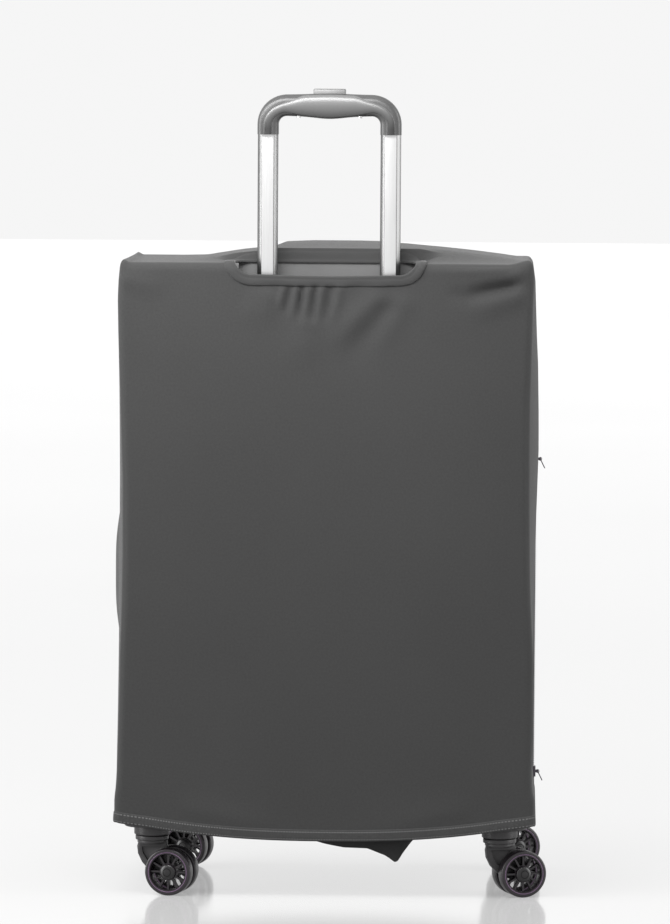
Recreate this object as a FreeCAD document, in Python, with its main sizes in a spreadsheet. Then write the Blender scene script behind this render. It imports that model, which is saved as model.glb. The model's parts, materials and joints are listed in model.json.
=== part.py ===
import FreeCAD, Part
import math
import os
import re
import Sketcher

# Softside upright suitcase, dressed in a fitted stretch cover.
# Millimetres. +Z up, the origin on the floor under the middle of the case.
# The trolley handle side, the back, faces -Y; the lid faces +Y.

doc = FreeCAD.newDocument("softside_suitcase")

# ---------------------------------------------------------------- sizes

SIZES = [
    ("case_width", 424, "fabric case, side to side"),
    ("case_depth", 258, "fabric case, back panel to lid"),
    ("case_height", 586, "fabric case, bottom board to top"),
    ("case_corner", 20, "radius of the case's outer edges"),
    ("shell_wall", 5, "foam-backed fabric wall"),
    ("lid_depth", 58, "depth of the lid"),
    ("main_zip_width", 8, "zip tape between tray and lid"),
    ("main_zip_proud", 0.8, "teeth standing out of the wall"),
    ("main_slider_gap", 2, "each main zip slider from the middle of the side"),
    ("main_slider_height", 12, "slider of the main zip"),
    ("main_slider_inset", 0.5, "main zip slider inside the tape's edges"),
    ("lining_wall", 1.2, "lining fabric"),
    ("lining_clearance", 0.2, "between the lining and what it lies on"),
    ("lining_gap", 1.5, "between the lining and what it hides"),
    ("hoop_width", 9, "flat steel frame hoop, across"),
    ("hoop_thickness", 2, "flat steel frame hoop, through"),
    ("hoop_clearance", 0.5, "hoop to the lining"),
    ("hoop_setback", 4, "hoop behind the tray's open edge"),
    ("hoop_ease", 1.5, "hoop's corners tighter than the tray's"),
    ("seam_ease", 0.01, "zip tape's corners rounder than the wall's"),
    ("board_thickness", 2.5, "plastic back board"),
    ("board_margin", 22, "from the case's sides to the board"),
    ("board_clearance", 0.5, "board to the handle cup"),
    ("strap_width", 28, "packing strap"),
    ("strap_thickness", 1.4, "packing strap"),
    ("buckle_width", 46, "side-release buckle"),
    ("buckle_height", 34, "side-release buckle"),
    ("buckle_thickness", 8, "side-release buckle"),
    ("buckle_overlap", 6, "strap's end inside the buckle"),
    ("bezel_width", 208, "moulded handle cup, outside"),
    ("bezel_depth", 40, "moulded handle cup, outside"),
    ("bezel_height", 56, "moulded handle cup, outside"),
    ("bezel_wall", 4, "moulded handle cup"),
    ("bezel_proud", 1, "cup standing out of the fabric"),
    ("bezel_back_drop", 17, "cup's back wall below its rim"),
    ("bezel_corner", 10, "cup's vertical edges"),
    ("tube_spacing", 129, "between the two tube centres"),
    ("inner_tube_width", 21.5, "handle tube, the thinnest"),
    ("inner_tube_depth", 13, "handle tube, the thinnest"),
    ("tube_wall", 1.2, "aluminium tube"),
    ("tube_clearance", 0.6, "between one tube and the next"),
    ("board_to_tube", 0.5, "between the board and the outer tubes"),
    ("inner_tube_length", 455, "handle tube"),
    ("mid_tube_top", 6, "middle tube standing up out of the cup's floor"),
    ("mid_tube_bottom_gap", 6, "middle tube above the foot's socket floor"),
    ("upper_travel", 180, "first stage of the handle"),
    ("bush_height", 22, "plastic glide in a tube's end"),
    ("foot_height", 20, "block that holds the tubes' lower ends"),
    ("foot_socket", 12, "depth of the tubes' sockets in the foot"),
    ("foot_margin", 8, "foot block around the tubes"),
    ("foot_rise", 8, "foot block above the tray's floor"),
    ("socket_clearance", 0.2, "tube in its way through the cup"),
    ("grip_lift", 136, "underside of the grip's sockets above the case"),
    ("grip_height", 42, "grip, socket to top"),
    ("grip_leg", 22.5, "width of each leg of the grip"),
    ("grip_depth", 25, "grip, back to front"),
    ("grip_corner", 31, "outer corner of the grip"),
    ("grip_inner_corner", 11, "inner corner of the grip"),
    ("grip_bar", 25, "height of the grip's bar"),
    ("grip_socket", 14, "depth of the tube sockets in the grip"),
    ("grip_wall", 2.4, "moulded wall of the grip"),
    ("grip_front_depth", 9, "silver front shell of the grip"),
    ("grip_front_inset", 1.2, "front shell inside the rear shell's outline"),
    ("grip_screw_back", 4.5, "screws under the bar, from its front"),
    ("grip_screw_depth", 1.4, "screws under the bar, how far they go in"),
    ("grip_screw_proud", 0.8, "screws under the bar, how far they stand out"),
    ("button_width", 34, "release button"),
    ("button_depth", 11, "release button"),
    ("button_proud", 4, "button above the grip"),
    ("button_travel", 3, "stroke of the button"),
    ("button_clearance", 0.35, "button to its slot, each side"),
    ("release_bar_height", 4, "bar under the button"),
    ("release_rod_radius", 2.2, "rod in each tube"),
    ("release_clearance", 0.6, "round the bar and the rods"),
    ("spring_radius", 3.4, "button spring, to the wire's centre"),
    ("spring_wire", 0.4, "radius of the spring's wire"),
    ("lock_pin_radius", 2.5, "pin that locks the stage"),
    ("lock_pin_length", 7, "pin that locks the stage"),
    ("lock_pin_stroke", 1.8, "how far the pin draws in"),
    ("lock_pin_clearance", 0.35, "pin to the holes it passes"),
    ("lock_pin_up", 11, "pin above the tube's lower end"),
    ("rod_clearance", 0.3, "release rod's end above the pin"),
    ("carry_length", 190, "carry handle between its anchors' far ends"),
    ("carry_width", 30, "carry handle, across"),
    ("carry_thickness", 7, "padded grip of a carry handle"),
    ("carry_gap", 10, "room under a carry handle"),
    ("carry_anchor", 26, "length of a handle anchor"),
    ("anchor_thickness", 3, "moulded anchor plate"),
    ("anchor_margin", 2, "anchor plate inside its strap's ends"),
    ("anchor_side", 4, "anchor plate inside its strap's edges"),
    ("anchor_recess", 3, "strap's edges outside the hole for its anchor"),
    ("anchor_clearance", 0.2, "anchor plate in its hole"),
    ("side_handle_height", 250, "middle of the side handle above the case's bottom"),
    ("swivel_x", 184.5, "caster swivels at the back, from the middle"),
    ("front_swivel_x", 179, "caster swivels at the front, from the middle"),
    ("swivel_y", 100, "caster swivel, from the middle"),
    ("wheel_radius", 25, "caster wheel"),
    ("wheel_width", 13, "caster wheel"),
    ("wheel_pair_gap", 9, "between the two wheels of a caster"),
    ("wheel_hub_radius", 8.5, "hub of a wheel"),
    ("wheel_rim_radius", 18.5, "inside of a wheel's rim"),
    ("wheel_web", 6, "thickness of the spoked web"),
    ("wheel_crown", 1.6, "rounding of the tread"),
    ("spoke_count", 12, "spokes of a wheel"),
    ("spoke_width", 2.4, "spoke of a wheel"),
    ("axle_radius", 2.5, "steel axle"),
    ("axle_clearance", 0.08, "running fit of a wheel on its axle"),
    ("axle_head", 4.4, "radius of an axle's riveted head"),
    ("axle_head_height", 1.2, "height of an axle's riveted head"),
    ("trail", 22, "from the swivel back to the axle"),
    ("fork_clearance", 0.5, "between the fork and each wheel"),
    ("fork_disc_radius", 18, "round top of the fork"),
    ("fork_disc_height", 5, "round top of the fork"),
    ("fork_boss_radius", 7, "boss round the axle"),
    ("fork_pin_radius", 6, "swivel pin"),
    ("fork_heel", 4, "horn's back inside the disc's edge"),
    ("fork_waist", 6, "horn's narrowing under the disc"),
    ("fork_knee", 9, "horn's bend above the axle"),
    ("fork_toe", 2, "horn's front inside the disc's edge"),
    ("swivel_clearance", 0.35, "between the fork and its housing"),
    ("collar_radius", 19, "round collar of the housing"),
    ("collar_above_wheels", 13, "underside of the housing's collar above the wheels"),
    ("case_above_wheels", 34, "underside of the case above the wheels"),
    ("case_bottom", "=2 * wheel_radius + case_above_wheels", "underside of the case"),
    ("collar_bottom", "=2 * wheel_radius + collar_above_wheels", "underside of the collar"),
    ("pin_gap", 1, "top of the swivel pin below the case"),
    ("housing_height", 11, "corner guard under the case"),
    ("housing_inset", 28, "housing from the swivel towards the middle"),
    ("housing_proud", 1.5, "corner guard outside the fabric"),
    ("housing_corner", 22, "outer corner of the guard"),
    ("screw_radius", 2, "shank of a screw"),
    ("screw_head_radius", 3.6, "head of a screw"),
    ("screw_head_height", 1.6, "head of a screw"),
    ("cover_gap", 2, "between the case and its cover"),
    ("cover_cloth", 1.2, "stretch fabric"),
    ("cover_corner", 15, "cover's upper and vertical edges"),
    ("cover_hem_bottom", "=collar_bottom", "lowest edge of the cover"),
    ("hem_height", 10, "turned and stitched hem"),
    ("hem_thickness", 1, "hem standing out of the cover"),
    ("slot_width", 210, "opening for the trolley handle"),
    ("slot_on_back", 20, "opening below the cover's top"),
    ("slot_on_top", 40, "opening from the back over the top"),
    ("binding_width", 9, "stitched band round the opening"),
    ("binding_thickness", 0.8, "band standing out of the cover"),
    ("tent_rise", 20, "cover lifted by the top handle"),
    ("tent_spread", 60, "slope of the cover round a handle"),
    ("tent_root", 4, "how deep a raised part starts inside the cover's form"),
    ("flap_width", 120, "black closing flap under the hem"),
    ("flap_drop", 34, "free height of the flap"),
    ("flap_thickness", 1.6, "flap with its hook tape"),
    ("zip_width", 6, "cover's side zip, teeth"),
    ("zip_thickness", 1.4, "cover's side zip, teeth"),
    ("zip_rise", 4, "cover standing out under its side zip"),
    ("zip_plateau", 14, "half width of that raised part"),
    ("zip_low", 30, "zip's lower end above the case's bottom"),
    ("zip_length", 352, "cover's side zip"),
    ("slider_height", 11, "zip slider"),
    ("slider_wall", 1, "zip slider"),
    ("slider_clearance", 0.4, "slider to the teeth"),
    ("pull_length", 11, "zip pull"),
    ("pull_width", 3.4, "zip pull"),
    ("pull_thickness", 1, "zip pull"),
    ("pull_eye", 1.2, "radius of the hole in a zip pull"),
    ("pull_ring", 0.7, "wall round the pull's hole"),
    ("pull_bar", 0.8, "bar that the zip pull hangs on"),
    ("pull_lean", 26, "degrees that a pull stands out when it hangs"),
    ("cut_over", 1, "how far a cutting or joining solid runs past a face"),
]

sheet = doc.addObject("Spreadsheet::Sheet", "Sizes")
for row, (alias, number, meaning) in enumerate(SIZES, start=1):
    sheet.set("A%d" % row, meaning)
    sheet.set("B%d" % row, str(number))
    sheet.setAlias("B%d" % row, alias)
doc.recompute()

ALIASES = {alias for alias, number, meaning in SIZES}
WORD = re.compile(r"[a-z_][a-z0-9_]*")


def size(alias):
    """The number that the sheet holds for one alias."""
    return float(sheet.get(alias))


def formula(text):
    """An expression on the sheet's aliases, as FreeCAD spells it."""
    return WORD.sub(
        lambda word: "Sizes." + word.group() if word.group() in ALIASES else word.group(),
        text,
    )


# Places that several pieces share.
TOP = "(case_bottom + case_height)"
SIDE = "(case_width / 2)"
BACK = "(-case_depth / 2)"
FRONT = "(case_depth / 2)"
TRAY_FRONT = "(case_depth / 2 - lid_depth - main_zip_width)"
MID_WIDTH = "(inner_tube_width + 2 * tube_clearance + 2 * tube_wall)"
MID_DEPTH = "(inner_tube_depth + 2 * tube_clearance + 2 * tube_wall)"
OUT_WIDTH = "(inner_tube_width + 4 * tube_clearance + 4 * tube_wall)"
OUT_DEPTH = "(inner_tube_depth + 4 * tube_clearance + 4 * tube_wall)"
BOARD_FACE = "(-case_depth / 2 + shell_wall + board_thickness)"
TUBE_Y = "(%s + board_to_tube + %s / 2)" % (BOARD_FACE, OUT_DEPTH)
BEZEL_TOP = "(case_bottom + case_height + bezel_proud)"
BEZEL_FLOOR = "(case_bottom + case_height + bezel_proud - bezel_height + bezel_wall)"
BEZEL_BACK = "(-case_depth / 2 - bezel_proud)"
FOOT_LOW = "(case_bottom + shell_wall + foot_rise)"
SOCKET_FLOOR = "(%s + foot_height - foot_socket)" % FOOT_LOW
MID_LOW = "(%s + mid_tube_bottom_gap)" % SOCKET_FLOOR
MID_HIGH = "(%s + mid_tube_top)" % BEZEL_FLOOR
GRIP_LOW = "(%s + grip_lift)" % TOP
GRIP_HIGH = "(%s + grip_height)" % GRIP_LOW
INNER_HIGH = "(%s + grip_socket)" % GRIP_LOW
INNER_LOW = "(%s - inner_tube_length)" % INNER_HIGH
PIN_Z = "(%s + lock_pin_up)" % INNER_LOW
BAR_LOW = "(%s - grip_wall - 2 * release_bar_height - button_travel)" % GRIP_HIGH
BAR_HIGH = "(%s + release_bar_height)" % BAR_LOW
LINING_BACK = "(%s + board_to_tube + %s + lining_gap)" % (BOARD_FACE, OUT_DEPTH)
COVER_SIDE = "(case_width / 2 + cover_gap)"
COVER_OUT = "(case_width / 2 + cover_gap + cover_cloth)"
COVER_TOP = "(%s + cover_gap)" % TOP
ZIP_LOW = "(case_bottom + zip_low)"
ZIP_HIGH = "(%s + zip_length)" % ZIP_LOW

# ---------------------------------------------------------------- helpers

nodes = []


def finished(part, label):
    """Give a sub-part the name that its file gets."""
    part.Label = label
    nodes.append(part)
    return part


def block(name, x, y, z):
    """A box between two expressions along each axis."""
    box = doc.addObject("Part::Box", name)
    spans = zip("xyz", ("Length", "Width", "Height"), (x, y, z))
    for axis, span, (low, high) in spans:
        box.setExpression(span, formula("(%s) - (%s)" % (high, low)))
        box.setExpression("Placement.Base." + axis, formula(low))
    return box


def rod(name, radius, x, y, z):
    """A cylinder along the one axis that is given as a pair."""
    turns = {
        0: FreeCAD.Rotation(FreeCAD.Vector(0, 1, 0), 90),
        1: FreeCAD.Rotation(FreeCAD.Vector(1, 0, 0), -90),
        2: FreeCAD.Rotation(),
    }
    places = [x, y, z]
    along = [isinstance(place, tuple) for place in places].index(True)
    low, high = places[along]
    places[along] = low
    cylinder = doc.addObject("Part::Cylinder", name)
    cylinder.Placement = FreeCAD.Placement(FreeCAD.Vector(), turns[along])
    cylinder.setExpression("Radius", formula(radius))
    cylinder.setExpression("Height", formula("(%s) - (%s)" % (high, low)))
    for axis, place in zip("xyz", places):
        cylinder.setExpression("Placement.Base." + axis, formula(place))
    return cylinder


def fuse(name, parts):
    union = doc.addObject("Part::MultiFuse", name)
    union.Shapes = parts
    union.Refine = True
    return union


def cut(name, base, tools):
    difference = doc.addObject("Part::Cut", name)
    difference.Base = base
    difference.Tool = tools[0] if len(tools) == 1 else fuse(name + "_tools", tools)
    return difference


def rounded(name, part, radius, wanted):
    """Round the edges of a part that the test picks out."""
    doc.recompute()
    fillet = doc.addObject("Part::Fillet", name)
    fillet.Base = part
    edges = enumerate(part.Shape.Edges, start=1)
    fillet.Edges = [(number, radius, radius) for number, edge in edges if wanted(edge)]
    return fillet


def runs_along(edge, axis):
    """True for a straight edge along one axis."""
    ends = edge.Vertexes[-1].Point - edge.Vertexes[0].Point
    others = [abs(ends[index]) for index in range(3) if index != axis]
    return abs(ends[axis]) > 1 and max(others) < 0.01


def box_of(part):
    doc.recompute()
    return part.Shape.BoundBox


def new_body(label):
    return finished(doc.addObject("PartDesign::Body", label), label)


def new_sketch(body, name, plane="XY_Plane", offset="0"):
    """An empty sketch on one of the body's own origin planes."""
    sketch = body.newObject("Sketcher::SketchObject", name)
    role = [feature for feature in body.Origin.OriginFeatures if feature.Role == plane]
    sketch.AttachmentSupport = (role[0], [""])
    sketch.MapMode = "FlatFace"
    sketch.setExpression("AttachmentOffset.Base.z", formula(offset))
    return sketch


def centred_rectangle(sketch, width, height):
    """Four constrained lines about the sketch's origin, sized by expressions."""
    first = sketch.GeometryCount
    corners = [(-1, -1), (1, -1), (1, 1), (-1, 1)]
    for here, there in zip(corners, corners[1:] + corners[:1]):
        start = FreeCAD.Vector(here[0], here[1], 0)
        end = FreeCAD.Vector(there[0], there[1], 0)
        sketch.addGeometry(Part.LineSegment(start, end))
    for step in range(4):
        sketch.addConstraint(Sketcher.Constraint(
            "Coincident", first + step, 2, first + (step + 1) % 4, 1))
    for step, kind in enumerate(("Horizontal", "Vertical", "Horizontal", "Vertical")):
        sketch.addConstraint(Sketcher.Constraint(kind, first + step))
    sketch.addConstraint(Sketcher.Constraint("Symmetric", first, 1, first + 2, 1, -1, 1))
    wide = sketch.addConstraint(Sketcher.Constraint("DistanceX", first, 1, first, 2, 2.0))
    sketch.setExpression("Constraints[%d]" % wide, formula(width))
    tall = sketch.addConstraint(Sketcher.Constraint("DistanceY", first + 1, 1, first + 1, 2, 2.0))
    sketch.setExpression("Constraints[%d]" % tall, formula(height))


def circle(sketch, radius, x="0", y="0"):
    """A constrained circle, placed and sized by expressions."""
    number = sketch.addGeometry(
        Part.Circle(FreeCAD.Vector(1, 1, 0), FreeCAD.Vector(0, 0, 1), 1))
    across = sketch.addConstraint(Sketcher.Constraint("DistanceX", -1, 1, number, 3, 1.0))
    sketch.setExpression("Constraints[%d]" % across, formula(x))
    up = sketch.addConstraint(Sketcher.Constraint("DistanceY", -1, 1, number, 3, 1.0))
    sketch.setExpression("Constraints[%d]" % up, formula(y))
    wide = sketch.addConstraint(Sketcher.Constraint("Radius", number, 1.0))
    sketch.setExpression("Constraints[%d]" % wide, formula(radius))


def outline(sketch, points):
    """A closed outline of straight runs; each point is a pair of expressions."""
    first = sketch.GeometryCount
    count = len(points)
    rough = [FreeCAD.Vector(math.cos(2 * math.pi * step / count),
                            math.sin(2 * math.pi * step / count), 0)
             for step in range(count)]
    for step in range(count):
        sketch.addGeometry(Part.LineSegment(rough[step], rough[(step + 1) % count]))
    for step in range(count):
        sketch.addConstraint(Sketcher.Constraint(
            "Coincident", first + step, 2, first + (step + 1) % count, 1))
    for step, (x, y) in enumerate(points):
        across = sketch.addConstraint(
            Sketcher.Constraint("DistanceX", -1, 1, first + step, 1, 1.0))
        sketch.setExpression("Constraints[%d]" % across, formula(x))
        up = sketch.addConstraint(
            Sketcher.Constraint("DistanceY", -1, 1, first + step, 1, 1.0))
        sketch.setExpression("Constraints[%d]" % up, formula(y))


def pad(body, name, sketch, length, midplane=False):
    feature = body.newObject("PartDesign::Pad", name)
    feature.Profile = sketch
    feature.setExpression("Length", formula(length))
    feature.Midplane = midplane
    return feature


def pocket(body, name, sketch, length=None, reverse=False):
    """Cut a sketch through the body: all the way, or to a depth."""
    doc.recompute()
    before = body.Shape.Volume
    feature = body.newObject("PartDesign::Pocket", name)
    feature.Profile = sketch
    feature.Reversed = reverse
    if length is None:
        feature.Type = "ThroughAll"
        feature.Midplane = True
    else:
        feature.setExpression("Length", formula(length))
    doc.recompute()
    if body.Shape.Volume > before - 0.01:
        raise RuntimeError(name + " cuts nothing")
    return feature


def place_body(body, x, y, z):
    for axis, place in zip("xyz", (x, y, z)):
        body.setExpression("Placement.Base." + axis, formula(place))


# ---------------------------------------------------------------- case shells


def rounded_box(name, x, y, z, radius, wanted):
    return rounded(name + "_round", block(name, x, y, z), radius, wanted)


def shell_box(name, inset, y, radius, skip_y):
    """The case's box, drawn in by an expression, with one end left square."""
    solid = block(name,
                  ("-%s + %s" % (SIDE, inset), "%s - (%s)" % (SIDE, inset)),
                  y,
                  ("case_bottom + %s" % inset, "%s - (%s)" % (TOP, inset)))
    bounds = box_of(solid)
    plane = bounds.YMax if skip_y > 0 else bounds.YMin

    def not_on_open_end(edge):
        return abs(edge.CenterOfMass.y - plane) > 0.01

    return rounded(name + "_round", solid, radius, not_on_open_end)


wall_radius = size("case_corner")
inner_radius = size("case_corner") - size("shell_wall")

bezel_room = block("bezel_room",
                   ("-bezel_width / 2", "bezel_width / 2"),
                   (BEZEL_BACK, "%s + bezel_depth" % BEZEL_BACK),
                   ("%s - bezel_height" % BEZEL_TOP, BEZEL_TOP))

tray_shell = cut(
    "tray_shell",
    shell_box("tray_outer", "0", (BACK, TRAY_FRONT), wall_radius, 1),
    [
        shell_box("tray_inner", "shell_wall", ("%s + shell_wall" % BACK, TRAY_FRONT),
                  inner_radius, 1),
        bezel_room,
    ],
)
finished(tray_shell, "tray_shell")

lid_shell = cut(
    "lid_shell",
    shell_box("lid_outer", "0", ("%s - lid_depth" % FRONT, FRONT), wall_radius, -1),
    [shell_box("lid_inner", "shell_wall",
               ("%s - lid_depth" % FRONT, "%s - shell_wall" % FRONT), inner_radius, -1)],
)
finished(lid_shell, "lid_shell")


def rectangle_ring(label, outset, thickness, y, corner):
    """A rounded band that follows the case's section, thickness inwards."""
    def along_y(edge):
        return runs_along(edge, 1)
    outside = rounded_box(
        label + "_out",
        ("-%s - (%s)" % (SIDE, outset), "%s + %s" % (SIDE, outset)),
        y,
        ("case_bottom - (%s)" % outset, "%s + %s" % (TOP, outset)),
        corner + size("seam_ease"), along_y)
    inset = "(%s - (%s))" % (thickness, outset)
    hole = rounded_box(
        label + "_in",
        ("-%s + %s" % (SIDE, inset), "%s - %s" % (SIDE, inset)),
        y,
        ("case_bottom + %s" % inset, "%s - %s" % (TOP, inset)),
        corner - size("hoop_thickness"), along_y)
    return finished(cut(label, outside, [hole]), label)


rectangle_ring("main_zip", "main_zip_proud", "shell_wall + main_zip_proud",
               (TRAY_FRONT, "%s - lid_depth" % FRONT), wall_radius)
rectangle_ring("frame_hoop", "-shell_wall - lining_wall - hoop_clearance", "hoop_thickness",
               ("%s - hoop_width - hoop_setback" % TRAY_FRONT, "%s - hoop_setback" % TRAY_FRONT),
               inner_radius - size("hoop_ease"))

slider_x = ("%s + main_zip_proud" % SIDE, "%s + main_zip_proud + slider_wall" % SIDE)
slider_y = ("%s - lid_depth - main_zip_width + main_slider_inset" % FRONT,
            "%s - lid_depth - main_slider_inset" % FRONT)
MIDDLE = "(case_bottom + case_height / 2)"
MAIN_SLIDER = "(main_slider_gap + main_slider_height)"
finished(fuse("main_zip_sliders", [
    block("main_slider_a", slider_x, slider_y,
          ("%s + main_slider_gap" % MIDDLE, "%s + %s" % (MIDDLE, MAIN_SLIDER))),
    block("main_slider_b", slider_x, slider_y,
          ("%s - %s" % (MIDDLE, MAIN_SLIDER), "%s - main_slider_gap" % MIDDLE)),
]), "main_zip_sliders")

# The lining hangs inside the tray and hides the tubes at its back.
lining_inset = "(shell_wall + lining_clearance)"
LINING_SIDE = "(%s - %s)" % (SIDE, lining_inset)
lining_outer = rounded_box(
    "lining_outer", ("-" + LINING_SIDE, LINING_SIDE), (LINING_BACK, TRAY_FRONT),
    ("case_bottom + " + lining_inset, "%s - %s" % (TOP, lining_inset)),
    inner_radius, lambda edge: runs_along(edge, 1))
lining_inner = rounded_box(
    "lining_inner",
    ("-%s + lining_wall" % LINING_SIDE, "%s - lining_wall" % LINING_SIDE),
    ("%s + lining_wall" % LINING_BACK, TRAY_FRONT),
    ("case_bottom + %s + lining_wall" % lining_inset,
     "%s - %s - lining_wall" % (TOP, lining_inset)),
    inner_radius - size("lining_wall"), lambda edge: runs_along(edge, 1))
lining_notch = block(
    "lining_notch", ("-bezel_width / 2 - lining_gap", "bezel_width / 2 + lining_gap"),
    (LINING_BACK, "%s + bezel_depth + lining_gap" % BEZEL_BACK),
    ("%s - bezel_height - lining_gap" % BEZEL_TOP, BEZEL_TOP))
finished(cut("lining", lining_outer, [lining_inner, lining_notch]), "lining")

# Plastic board behind the back panel, cut away for the handle cup.
board = block("board_plate",
              ("-%s + board_margin" % SIDE, "%s - board_margin" % SIDE),
              ("%s + shell_wall" % BACK, BOARD_FACE),
              ("case_bottom + board_margin", "%s - board_margin" % TOP))
board_notch = block("board_notch",
                    ("-bezel_width / 2 - board_clearance", "bezel_width / 2 + board_clearance"),
                    (BACK, "0"), ("%s - bezel_height - board_clearance" % BEZEL_TOP, BEZEL_TOP))
finished(cut("back_board", board, [board_notch]), "back_board")

# Packing straps lie on the lining's back and meet in a buckle.
strap_y = ("%s + lining_wall" % LINING_BACK, "%s + lining_wall + strap_thickness" % LINING_BACK)
strap_z = ("case_bottom + case_height / 2 - strap_width / 2",
           "case_bottom + case_height / 2 + strap_width / 2")
finished(fuse("packing_straps", [
    block("strap_left", ("-%s + lining_wall" % LINING_SIDE, "-buckle_width / 2 + buckle_overlap"),
          strap_y, strap_z),
    block("strap_right", ("buckle_width / 2 - buckle_overlap", "%s - lining_wall" % LINING_SIDE),
          strap_y, strap_z),
]), "packing_straps")
buckle_body = block(
    "buckle_body", ("-buckle_width / 2", "buckle_width / 2"),
    ("%s + lining_clearance" % strap_y[1], "%s + buckle_thickness" % strap_y[1]),
    ("case_bottom + case_height / 2 - buckle_height / 2",
     "case_bottom + case_height / 2 + buckle_height / 2"))
finished(rounded("strap_buckle", buckle_body, size("buckle_thickness") / 4,
                 lambda edge: runs_along(edge, 1)), "strap_buckle")

# ---------------------------------------------------------------- handle cup and tubes

bezel_outer = rounded("bezel_outer", block(
    "bezel_block",
    ("-bezel_width / 2", "bezel_width / 2"),
    (BEZEL_BACK, "%s + bezel_depth" % BEZEL_BACK),
    ("%s - bezel_height" % BEZEL_TOP, BEZEL_TOP)),
    size("bezel_corner") / 4, lambda edge: runs_along(edge, 2))
CUP_BACK = "(%s + bezel_wall)" % BEZEL_BACK
CUP_FRONT = "(%s + bezel_depth - bezel_wall)" % BEZEL_BACK
cup = rounded("cup", block(
    "cup_block",
    ("-bezel_width / 2 + bezel_wall", "bezel_width / 2 - bezel_wall"),
    (CUP_BACK, CUP_FRONT), (BEZEL_FLOOR, "%s + cut_over" % BEZEL_TOP)),
    size("bezel_corner") / 2, lambda edge: runs_along(edge, 2))
cup_back_cut = block("cup_back_cut",
                     ("-bezel_width / 2 + bezel_corner", "bezel_width / 2 - bezel_corner"),
                     ("%s - cut_over" % BEZEL_BACK, "%s + bezel_wall + cut_over" % BEZEL_BACK),
                     ("%s - bezel_back_drop" % BEZEL_TOP, "%s + cut_over" % BEZEL_TOP))


def tube_x(side):
    return "(%d * tube_spacing / 2)" % side


def tube_holes(name, margin, z):
    """Two rectangular holes, round whatever tube is given by its size."""
    holes = []
    for side, word in ((-1, "left"), (1, "right")):
        holes.append(block(
            "%s_%s" % (name, word),
            ("%s - %s / 2 - %s" % (tube_x(side), OUT_WIDTH, margin),
             "%s + %s / 2 + %s" % (tube_x(side), OUT_WIDTH, margin)),
            ("%s - %s / 2 - %s" % (TUBE_Y, OUT_DEPTH, margin),
             "%s + %s / 2 + %s" % (TUBE_Y, OUT_DEPTH, margin)), z))
    return holes


socket_z = ("%s - bezel_height - cut_over" % BEZEL_TOP, "%s - bezel_wall / 2" % BEZEL_FLOOR)
through_z = ("%s - bezel_height - cut_over" % BEZEL_TOP, "%s + cut_over" % BEZEL_FLOOR)
bezel = cut("handle_bezel", bezel_outer, [cup, cup_back_cut]
            + tube_holes("bezel_socket", "0", socket_z)
            + tube_holes("bezel_way", "-tube_wall + socket_clearance", through_z))
finished(bezel, "handle_bezel")

foot_half = "(tube_spacing / 2 + %s / 2 + foot_margin)" % OUT_WIDTH
foot_block = block("foot_block", ("-" + foot_half, foot_half),
                   ("%s + board_to_tube / 2" % BOARD_FACE, "%s - lining_gap / 2" % LINING_BACK),
                   (FOOT_LOW, "%s + foot_height" % FOOT_LOW))
finished(cut("trolley_foot", foot_block,
             tube_holes("foot_socket_hole", "0",
                        (SOCKET_FLOOR, "%s + foot_height + cut_over" % FOOT_LOW))),
         "trolley_foot")


def tube(label, side, width, depth, low, high):
    """A rectangular tube, padded from its hollow section."""
    body = new_body(label)
    section = new_sketch(body, label + "_section")
    centred_rectangle(section, width, depth)
    centred_rectangle(section, "%s - 2 * tube_wall" % width, "%s - 2 * tube_wall" % depth)
    pad(body, label + "_pad", section, "(%s) - (%s)" % (high, low))
    place_body(body, tube_x(side), TUBE_Y, low)
    doc.recompute()
    return body


for side, word in ((-1, "left"), (1, "right")):
    tube("outer_tube_" + word, side, OUT_WIDTH, OUT_DEPTH,
         SOCKET_FLOOR, "(%s - bezel_wall / 2)" % BEZEL_FLOOR)

    mid = tube("mid_tube_" + word, side, MID_WIDTH, MID_DEPTH, MID_LOW, MID_HIGH)
    inner = tube("inner_tube_" + word, side, "inner_tube_width", "inner_tube_depth",
                 INNER_LOW, INNER_HIGH)
    # Lock holes face the case's front: one in the inner tube, two in the middle tube,
    # where the stage locks out and in.
    hole = new_sketch(inner, inner.Label + "_lock", "XZ_Plane")
    circle(hole, "lock_pin_radius + lock_pin_clearance", "0", "lock_pin_up")
    pocket(inner, inner.Label + "_lock_hole", hole, "inner_tube_depth")
    holes = new_sketch(mid, mid.Label + "_locks", "XZ_Plane")
    up = "(%s) - (%s)" % (PIN_Z, MID_LOW)
    circle(holes, "lock_pin_radius + lock_pin_clearance", "0", up)
    circle(holes, "lock_pin_radius + lock_pin_clearance", "0", "%s - upper_travel" % up)
    pocket(mid, mid.Label + "_lock_holes", holes, MID_DEPTH)


def bushes(label, width, depth, low, hole):
    """A plastic glide in the lower end of each tube of a stage."""
    glides = []
    for side, word in ((-1, "left"), (1, "right")):
        name = "%s_%s" % (label, word)
        glide = block(name + "_block",
                      ("%s - (%s) / 2" % (tube_x(side), width),
                       "%s + (%s) / 2" % (tube_x(side), width)),
                      ("%s - (%s) / 2" % (TUBE_Y, depth), "%s + (%s) / 2" % (TUBE_Y, depth)),
                      (low, "%s + bush_height" % low))
        glides.append(cut(name, glide, hole(name, side, low)))
    return finished(fuse(label, glides), label)


def wide_way(name, side, low):
    """The middle stage's glide is a frame that the inner tube passes."""
    way_x = "(inner_tube_width / 2 + tube_clearance / 2)"
    way_y = "(inner_tube_depth / 2 + tube_clearance / 2)"
    return [block(name + "_way",
                  ("%s - %s" % (tube_x(side), way_x), "%s + %s" % (tube_x(side), way_x)),
                  ("%s - %s" % (TUBE_Y, way_y), "%s + %s" % (TUBE_Y, way_y)),
                  ("%s - cut_over" % low, "%s + bush_height + cut_over" % low))]


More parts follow.
